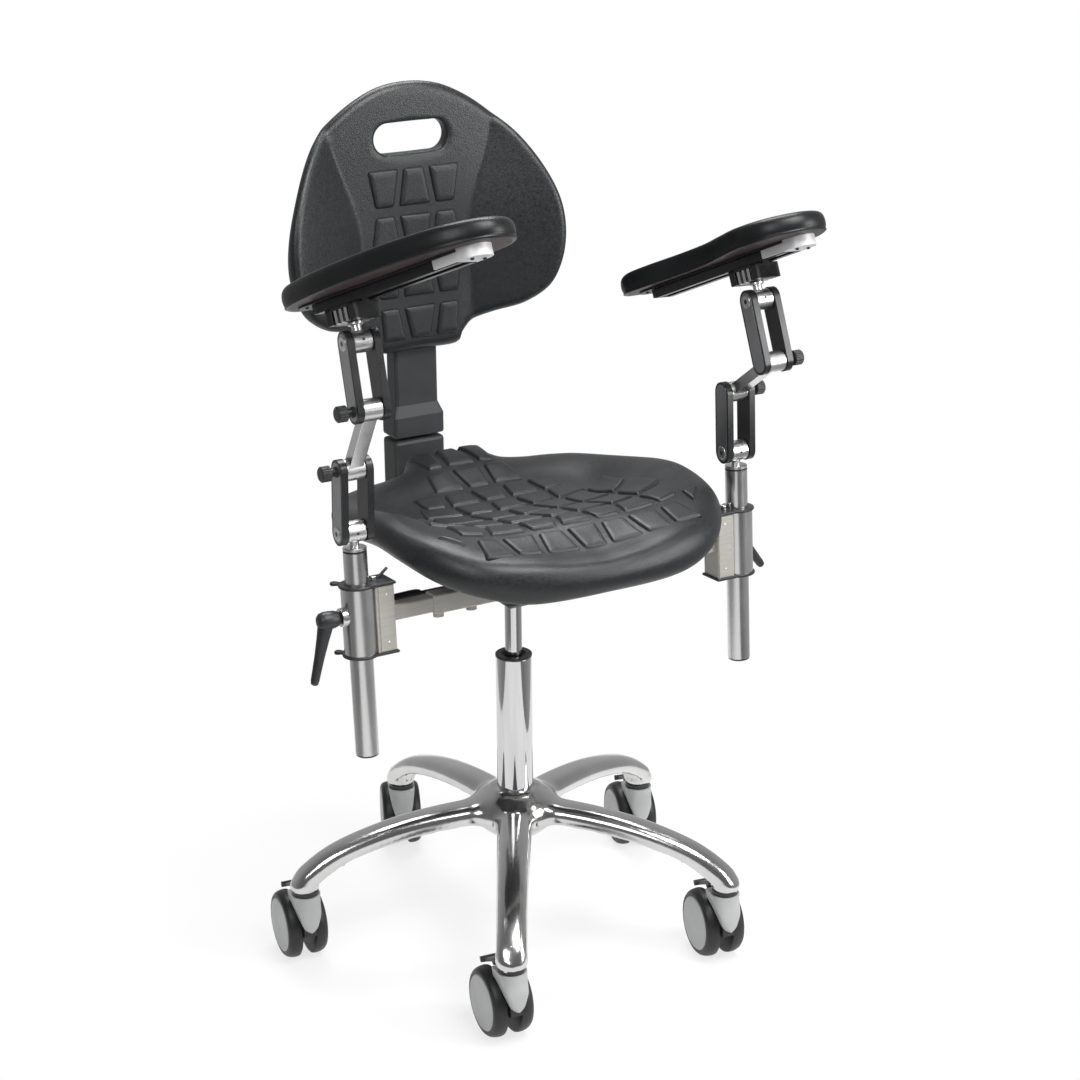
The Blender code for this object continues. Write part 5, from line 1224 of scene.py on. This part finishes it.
def lever_aim(side):
    """A frame on the clamp's screw, Z outwards and X towards the lever's end, and how far that end is."""
    spot, out = joint_spot(f"{side}_clamp_lever_turn"), joint_axis(f"{side}_clamp_lever_turn")
    arms = [vertex.co - spot for vertex in frame["nodes"][f"{side}_clamp_lever"].data.vertices]
    if out.dot(sum(arms, Vector())) < 0:
        out = -out
    away = max(arms, key=lambda arm: arm.length)
    return axes_at(spot, away, out), (away - out * away.dot(out)).length, away.dot(out)


class STOOL_OT_masts(bpy.types.Operator):
    """Makes the clamps, their levers and the masts"""
    bl_idname = "stool.masts"
    bl_label = "Masts and clamps"

    def execute(self, context):
        for side, sign in SIDES:
            place = tilt_frame() @ Matrix.Translation((sign * ARM_X, ARM_Y, CLAMP_TOP))
            place = place @ Matrix.Scale(-sign, 4, (1, 0, 0))
            aim, reach, rise = lever_aim(side)
            shell = clamp_body(place)
            shell.add(lathe(((0.012, -0.012), (0.012, -0.0006), (0.0112, 0.0)), 48), aim)
            build(f"{side}_mast_clamp", shell, f"{side}_arm", ["satin", "beam", "black plastic"],
                  [f"{side}_clamp"], bevel=0.0005)
            repeated(f"{side}_clamp_screws", row_of_heads(), {
                "Count": 2, "First": (0.031, -CLAMP_HALF - 0.0002, -0.016), "Step": (0, 0, -0.062),
                "Head radius": 0.0020}, place, f"{side}_arm", "turned")

            slope = math.atan2(rise - LEVER_RISE, reach)
            grip = aim @ Matrix.Translation((0, 0, LEVER_RISE)) @ Matrix.Rotation(math.pi / 2 - slope, 4, "Y")
            lever = Shell().add(lathe(LEVER_HEAD, 48), aim)
            lever.add(lathe([(radius, LEVER_LENGTH * share) for share, radius in LEVER_GRIP], 32), grip)
            build(f"{side}_lever", lever, f"{side}_clamp_lever", ["black plastic"],
                  [f"{side}_clamp_lever"], sharp=50)

            up = joint_axis(f"{side}_mast_turn")
            top = axes_at(joint_spot(f"{side}_mast_turn") - up * EYE_RISE, (1, 0, 0), up)
            mast = Shell().add(lathe(((MAST_RADIUS, 0.0030 - MAST_LENGTH), (MAST_RADIUS, -0.0015)), 72), top)
            mast.add(lathe(((0.0128, -MAST_LENGTH), (0.0141, 0.0008 - MAST_LENGTH),
                            (0.0146, 0.0031 - MAST_LENGTH)), 72), top, 1)
            # a thin black ring on the mast's top: painted shade standing for the shadow line under the eye
            mast.add(lathe(((0.0147, -0.0016), (0.0147, -0.0002), (0.0140, 0.0)), 72), top, 1)
            build(f"{side}_mast_tube", mast, f"{side}_mast", ["satin", "black plastic"],
                  [f"{side}_mast"], sharp=35)
        return {"FINISHED"}


def eye(shell, place, flange, front):
    """Adds a lug across X, with its set screw and its stem down to the stud."""
    edge, inner = EYE_RADIUS - EYE_CHAMFER, EYE_HALF - EYE_CHAMFER
    shell.add(pipe(((EYE_BORE, -EYE_HALF), (edge, -EYE_HALF), (EYE_RADIUS, -inner), (EYE_RADIUS, inner),
                    (edge, EYE_HALF), (EYE_BORE, EYE_HALF)), 56), place @ ACROSS)
    shell.add(lathe(SET_SCREW, 20), place @ Matrix.Rotation(math.radians(90 * front), 4, "X"), 1)
    foot = 0.0004 - EYE_RISE
    shell.add(lathe(((STUD_RADIUS, -EYE_RISE - 0.018), (STUD_RADIUS, -0.011)), 32), place)
    ring = 0.0150 if flange else 0.0092
    shell.add(lathe(((ring - 0.0006, foot), (ring, foot + 0.0006), (ring, foot + 0.0032),
                     (ring - 0.0010, foot + 0.0040)), 56), place)


def straps(side, level, place, reach):
    """Makes a bracket: two black straps, each with a grey inlay on its face that is painted sheen, and the
    heads of the pin and the screw, each pin head with a black hexagon painted on as the shade of its socket.
    """
    flat = place @ ACROSS
    shell = Shell()
    for way in (-1, 1):
        turned = flat @ Matrix.Rotation(0 if way > 0 else math.pi, 4, "Y")
        shell.add(prism(stadium(STRAP_HALF, 0, reach), *sorted((way * STRAP_IN, way * STRAP_OUT))), flat)
        shell.add(lathe(((0.0088, STRAP_OUT - 0.001), (0.0088, STRAP_OUT + 0.0008),
                         (0.0080, STRAP_OUT + 0.0014)), 40), turned, 1)
        # a flat black hexagon on the pin head: painted shade standing for the pin's hex socket
        shell.add(lathe(((0.0036, STRAP_OUT + 0.0010), (0.0036, STRAP_OUT + 0.0015)), 6), turned)
        # the grey inlay on each strap's face is painted sheen, a lighter copy of the strap's black anodising
        inlay = sorted((way * (STRAP_OUT - 0.001), way * STRAP_FACE))
        shell.add(prism(stadium(STRAP_HALF - 0.0032, 0, reach), *inlay), flat, 2)
    build(f"{side}_{level}_straps", shell, f"{side}_{level}_bracket", ["black anodising", "turned", "strap"],
          [f"{side}_{level}_bracket"], bevel=0.0011, segments=3)


def hand_knob(side, level, outward):
    """Makes a ribbed knob on the end of its screw, which goes through both straps."""
    shell = Shell().add(lathe(((0.0040, -STRAP_OUT), (0.0040, STRAP_FACE)), 24), outward, 1)
    shell.add(lathe([(radius, STRAP_FACE + rise) for radius, rise in KNOB_PROFILE], 48), outward)
    build(f"{side}_{level}_knob_head", shell, f"{side}_{level}_knob", ["black plastic", "turned"],
          [f"{side}_{level}_knob"], sharp=35)
    repeated(f"{side}_{level}_knob_ribs", ring_of_ribs(), {
        "Count": 18, "Ring radius": 0.0089, "Rib sides": 8, "Rib radius": 0.0011, "Rib length": 0.0112},
        outward @ Matrix.Translation((0, 0, STRAP_FACE + 0.0147)), f"{side}_{level}_knob", "black plastic")


def dogbone(side, place, reach):
    """Makes the middle link: a bar between two eyes."""
    shell = Shell()
    for height in (0, reach):
        shell.add(pipe(((0.0043, -EYE_HALF), (EYE_RADIUS, -EYE_HALF), (EYE_RADIUS, EYE_HALF),
                        (0.0043, EYE_HALF)), 56), place @ Matrix.Translation((0, 0, height)) @ ACROSS)
    shell.add(block((-0.0095, -0.0075, 0.008), (0.0095, 0.0075, reach - 0.008)), place, 1)
    build(f"{side}_dogbone", shell, f"{side}_mid_link", ["turned", "satin"],
          [f"{side}_mid_link"], bevel=0.0007)


class STOOL_OT_arm_links(bpy.types.Operator):
    """Makes the eyes, straps, links and knobs of the arm rests"""
    bl_idname = "stool.arm_links"
    bl_label = "Arm links"

    def execute(self, context):
        sideways = (1, 0, 0)
        for side, sign in SIDES:
            mast_pin, low_knob, high_knob, pad_pin, pad_turn = (joint_spot(f"{side}_{name}") for name in (
                "lower_bracket_tilt", "link_tilt", "upper_bracket_tilt", "pad_tilt", "pad_turn"))
            for node, spot, up, flange, front in (
                    ("mast_eye", mast_pin, joint_axis(f"{side}_mast_turn"), True, 1),
                    ("pad_eye", pad_pin, pad_pin - pad_turn, False, -1)):
                shell = Shell()
                eye(shell, axes_at(spot, sideways, up), flange, front)
                build(f"{side}_{node}_lug", shell, f"{side}_{node}", ["turned", "black plastic"],
                      [f"{side}_{node}"], sharp=35)
            for level, pin, knob in (("lower", mast_pin, low_knob), ("upper", pad_pin, high_knob)):
                straps(side, level, axes_at(pin, sideways, knob - pin), (knob - pin).length)
                hand_knob(side, level, axes_at(knob, (0, 1, 0), (sign, 0, 0)))
            link = high_knob - low_knob
            dogbone(side, axes_at(low_knob, sideways, link), link.length)
        return {"FINISHED"}


RAIL_CHEEK, RAIL_CHEEK_HALF, RAIL_HALF = 0.0120, 0.005, 0.0165
RAIL_END_HALF, RAIL_END_THICK, RAIL_CLIP, RAIL_CLIP_LENGTH = 0.0172, 0.004, 0.0205, 0.034
CARRIER_WIDE, CARRIER_DEEP, CARRIER_TALL, CARRIER_NECK = 0.022, 0.024, 0.020, 0.0065


def pad_rail(side, place):
    """The rail's two cheeks under its web, closed by an end block and clips at the front."""
    low, high = box_in(f"{side}_pad_rail", place)
    end, shell = high.y, Shell()
    for way in (-1, 1):
        shell.add(block((way * RAIL_CHEEK - RAIL_CHEEK_HALF, -end, low.z),
                        (way * RAIL_CHEEK + RAIL_CHEEK_HALF, end, high.z)), place)
    shell.add(block((-RAIL_HALF, -end, high.z - 0.003), (RAIL_HALF, end, high.z)), place)
    for way in (-1, 1):
        near, far = sorted((way * end, way * (end + RAIL_END_THICK)))
        shell.add(block((-RAIL_END_HALF, near, low.z + 0.0005), (RAIL_END_HALF, far, high.z)),
                  place, int(way < 0))
        near, far = sorted((way * RAIL_END_HALF, way * RAIL_CLIP))
        shell.add(block((near, -end - RAIL_END_THICK, low.z + 0.0008), (far, RAIL_CLIP_LENGTH - end, high.z)),
                  place, 1)
    build(f"{side}_rail", shell, f"{side}_pad", ["black anodising", "casting"],
          [f"{side}_pad_rail"], bevel=0.0007)
    return low.z, end


def pad_plate(side, place, foot, end):
    """The plate with its round ends, the front one as deep as the rail, and their screws."""
    low, high = box_in(f"{side}_pad_plate", place)
    half, tip = high.x, high.y - high.x
    shell = Shell().add(block((-half, -end - 0.0042, low.z), (half, end + 0.0042, high.z)), place)
    start = end + 0.0041
    outline = [(x, max(y, 0)) for x, y in stadium(half, 0, tip - start) if y > -0.001]
    for way, under in ((-1, foot + 0.0008), (1, low.z)):
        turned = place @ Matrix.Rotation(0 if way > 0 else math.pi, 4, "Z")
        shell.add(prism(outline, under, high.z), turned @ Matrix.Translation((0, start, 0)), int(way < 0))
    build(f"{side}_plate", shell, f"{side}_pad", ["black plastic", "casting"],
          [f"{side}_pad_plate"], bevel=0.0005)
    for name, y, under in (("front", -tip - 0.004, foot), ("rear", tip + 0.004, low.z)):
        repeated(f"{side}_plate_screws_{name}", row_of_heads(), {
            "Count": 2, "First": (-0.011, y, under + 0.0006), "Step": (0.022, 0, 0), "Head radius": 0.0026},
            place, f"{side}_pad", "steel")


def pad_carrier(side, sign):
    """The block that turns on the pad's eye, with fins at its sides and a neck into the rail."""
    place = carrier_frame(side)
    wide, deep, tall = CARRIER_WIDE, CARRIER_DEEP, CARRIER_TALL
    shell = Shell()
    shell.add(block((-wide + 0.0045, -deep, 0.0), (wide - 0.0045, deep, tall - 0.003)), place)
    shell.add(block((-wide, -deep, tall - 0.004), (wide, deep, tall)), place)
    for near, far in ((-deep, 0.010 - deep), (deep - 0.010, deep)):
        shell.add(block((-wide, near, 0.0), (wide, far, tall)), place)
    shell.add(block((-CARRIER_NECK, -deep, tall - 0.001),
                    (CARRIER_NECK, deep, box_in(f"{side}_pad_carrier", place)[1].z)), place)
    build(f"{side}_carrier", shell, f"{side}_pad_carrier", ["black anodising"],
          [f"{side}_pad_carrier"], bevel=0.0007)
    for way in (-1, 1):
        repeated(f"{side}_carrier_fins_{'inner' if way * sign < 0 else 'outer'}", row_of_fins(), {
            "Count": 3, "First": (way * (wide - 0.0030), -0.0085, tall / 2 - 0.0015),
            "Step": (0, 0.0085, 0), "Fin size": (0.005, 0.0042, tall - 0.003)},
            place, f"{side}_pad_carrier", "satin")


class STOOL_OT_pad_mounts(bpy.types.Operator):
    """Makes the ribbed carriers, the rails and the plates under the arm pads"""
    bl_idname = "stool.pad_mounts"
    bl_label = "Pad mounts"

    def execute(self, context):
        for side, sign in SIDES:
            place = pad_frame(side)
            pad_plate(side, place, *pad_rail(side, place))
            pad_carrier(side, sign)
        return {"FINISHED"}


# finishes of the pieces that keep their machined shape, without the name of their side or caster
NODE_FINISHES = {
    "thrust_bearing": "steel", "gas_rod": "chrome", "gas_cylinder": "chrome", "mechanism_housing": "steel",
    "seat_plate": "steel", "cross_tube": "beam", "back_bar": "steel", "back_socket": "cover",
    "back_sleeve": "cover", "brake": "black plastic", "cross_arm": "beam",
}


class STOOL_OT_finishes(bpy.types.Operator):
    """Puts the finishes on the pieces that keep their machined shape"""
    bl_idname = "stool.finishes"
    bl_label = "Finishes"

    def execute(self, context):
        for name, node in frame["nodes"].items():
            short = name
            for start in ("left_", "right_", *(f"caster_{k}_" for k in CASTERS)):
                short = short.removeprefix(start)
            if short in NODE_FINISHES:
                for slot in node.material_slots:
                    slot.material = finish(NODE_FINISHES[short])
        return {"FINISHED"}


def white_floor():
    """A matt white floor that keeps the shadow round the stool and turns plain white further out."""
    make = Finish("floor white")
    cloud = make.spread(make.noise(5, 2), 0, 1)
    make.set(Base_Color=make.mix(cloud, (0.87, 0.87, 0.87), (0.885, 0.885, 0.885)), Roughness=0.9)
    seen = make.ray("Camera") + make.ray("Glossy") * 0.75 + make.ray("Transmission")
    far = make.node("ShaderNodeVectorMath", {"operation": "LENGTH"}, {0: make.place()}, out="Value")
    fade = make.node("ShaderNodeMapRange", {"interpolation_type": "SMOOTHSTEP"},
                     {"Value": far, 1: 0.28, 2: 0.70, 3: 0.74, 4: 1.0})
    white = make.node("ShaderNodeEmission", None, {"Color": (1, 1, 1), "Strength": 1.0})
    make.show((seen * fade).at_most(1), Value(make, make.shader.outputs[0]), white, "Material Output")
    return make.material


def studio_world(scene, away):
    """White to the camera. As light, bright behind the stool and near the floor, dark in front and above."""
    scene.world = bpy.data.worlds.new("studio")
    scene.world.use_nodes = True
    make = Nodes(scene.world.node_tree)
    where = make.node("ShaderNodeTexCoord", out="Generated")
    behind = make.node("ShaderNodeVectorMath", {"operation": "DOT_PRODUCT"},
                       {0: where, 1: away * 0.85 - Vector((0, 0, 0.53))}, out="Value")
    share = make.node("ShaderNodeMapRange", None, {0: behind, 1: -1, 2: 1, 3: 0, 4: 1})
    tone = make.node("ShaderNodeValToRGB", {"stops": (
        (0.15, (0.28, 0.28, 0.285)), (0.5, (0.54, 0.54, 0.545)), (0.85, (0.92, 0.92, 0.92)))}, {0: share})
    sky = make.tree.nodes["Background"]
    make.give(sky.inputs["Color"], tone)
    make.give(sky.inputs["Strength"], 0.5)
    white = make.node("ShaderNodeBackground", None, {"Color": (1, 1, 1)})
    make.show(make.ray("Camera"), Value(make, sky.outputs[0]), white, "World Output")


CAMERA_TURN, CAMERA_PITCH, CAMERA_ROLL = math.radians(-29.6), math.radians(19.86), math.radians(-0.49)
CAMERA_AWAY, CAMERA_ACROSS, CAMERA_HEIGHT = -3.010, 0.037, 1.671
FLOOR_LEFT, FLOOR_RIGHT, FLOOR_NEAR, FLOOR_FAR = -0.78, 0.72, -9, 14
AIM_HEIGHT = 0.55
# by the name of their power: across, away and up from the stool, and the lamp's two sides
LIGHTS = {
    "key": ((0.9, -1.0, 2.6), (1.2, 1.0)), "side": ((2.2, -0.8, 1.25), (1.0, 1.4)),
    "top": ((-0.1, 0.9, 2.6), (1.4, 0.9)), "front": ((-1.0, -2.2, 2.2), (1.2, 1.0)),
}


class STOOL_OT_stage(bpy.types.Operator):
    """Makes the camera, the floor and the lights"""
    bl_idname = "stool.stage"
    bl_label = "Stage"

    def execute(self, context):
        scene, stage = context.scene, context.scene.stool_stage
        scene.view_settings.view_transform = "Standard"
        up = Vector((0, 0, 1))
        across = Vector((math.cos(CAMERA_TURN), math.sin(CAMERA_TURN), 0))
        away = up.cross(across)
        column = Vector((*COLUMN, 0))
        forward = away * math.cos(CAMERA_PITCH) - up * math.sin(CAMERA_PITCH)
        over = away * math.sin(CAMERA_PITCH) + up * math.cos(CAMERA_PITCH)
        right = across * math.cos(CAMERA_ROLL) + over * math.sin(CAMERA_ROLL)
        over = over * math.cos(CAMERA_ROLL) - across * math.sin(CAMERA_ROLL)
        camera = bpy.data.cameras.new("camera")
        camera.lens, camera.sensor_width = stage.lens, 36
        viewer = bpy.data.objects.new("camera", camera)
        spot = column + away * CAMERA_AWAY + across * CAMERA_ACROSS + up * CAMERA_HEIGHT
        viewer.matrix_world = Matrix.Translation(spot) @ Matrix((right, over, -forward)).transposed().to_4x4()
        scene.collection.objects.link(viewer)
        scene.camera = viewer

        floor = bpy.data.meshes.new("floor")
        floor.from_pydata([across * x + away * y for x, y in (
            (FLOOR_LEFT, FLOOR_NEAR), (FLOOR_RIGHT, FLOOR_NEAR), (FLOOR_RIGHT, FLOOR_FAR),
            (FLOOR_LEFT, FLOOR_FAR))], [], [(0, 1, 2, 3)])
        floor.materials.append(white_floor())
        ground = bpy.data.objects.new("floor", floor)
        scene.collection.objects.link(ground)
        studio_world(scene, away)

        for name, ((x, y, z), sides) in LIGHTS.items():
            lamp = bpy.data.lights.new(f"{name} light", "AREA")
            lamp.shape, lamp.size, lamp.size_y = "RECTANGLE", *sides
            lamp.energy = getattr(stage, f"{name}_power")
            light = bpy.data.objects.new(lamp.name, lamp)
            spot = across * x + away * y + up * z
            aim = (column + up * AIM_HEIGHT - spot).to_track_quat("-Z", "Y")
            light.matrix_world = Matrix.Translation(spot) @ aim.to_matrix().to_4x4()
            scene.collection.objects.link(light)
        return {"FINISHED"}


class STOOL_PT_panel(bpy.types.Panel):
    """Lists the stool's sizes, colours and pieces"""
    bl_idname = "STOOL_PT_panel"
    bl_label = "Surgeon stool"
    bl_space_type = "VIEW_3D"
    bl_region_type = "UI"
    bl_category = "Stool"

    def draw(self, context):
        for group in (context.scene.stool_sizes, context.scene.stool_colours, context.scene.stool_stage):
            for name in group.__annotations__:
                self.layout.prop(group, name)
        for operator in OPERATORS:
            self.layout.operator(operator.bl_idname)


OPERATORS = (
    STOOL_OT_stage, STOOL_OT_finishes, STOOL_OT_seat, STOOL_OT_back, STOOL_OT_arm_pads,
    STOOL_OT_star_base, STOOL_OT_column, STOOL_OT_height_lever, STOOL_OT_casters, STOOL_OT_masts,
    STOOL_OT_arm_links, STOOL_OT_pad_mounts,
)
GROUPS = {"stool_sizes": StoolSizes, "stool_colours": StoolColours, "stool_stage": StoolStage}


def register():
    for group in (*GROUPS.values(), *OPERATORS, STOOL_PT_panel):
        bpy.utils.register_class(group)
    for name, group in GROUPS.items():
        setattr(bpy.types.Scene, name, bpy.props.PointerProperty(type=group))


def unregister():
    for name in GROUPS:
        delattr(bpy.types.Scene, name)
    for group in reversed((*GROUPS.values(), *OPERATORS, STOOL_PT_panel)):
        bpy.utils.unregister_class(group)


def main():
    register()
    for operator in OPERATORS:
        group, name = operator.bl_idname.split(".")
        getattr(getattr(bpy.ops, group), name)()


if __name__ == "__main__":
    main()
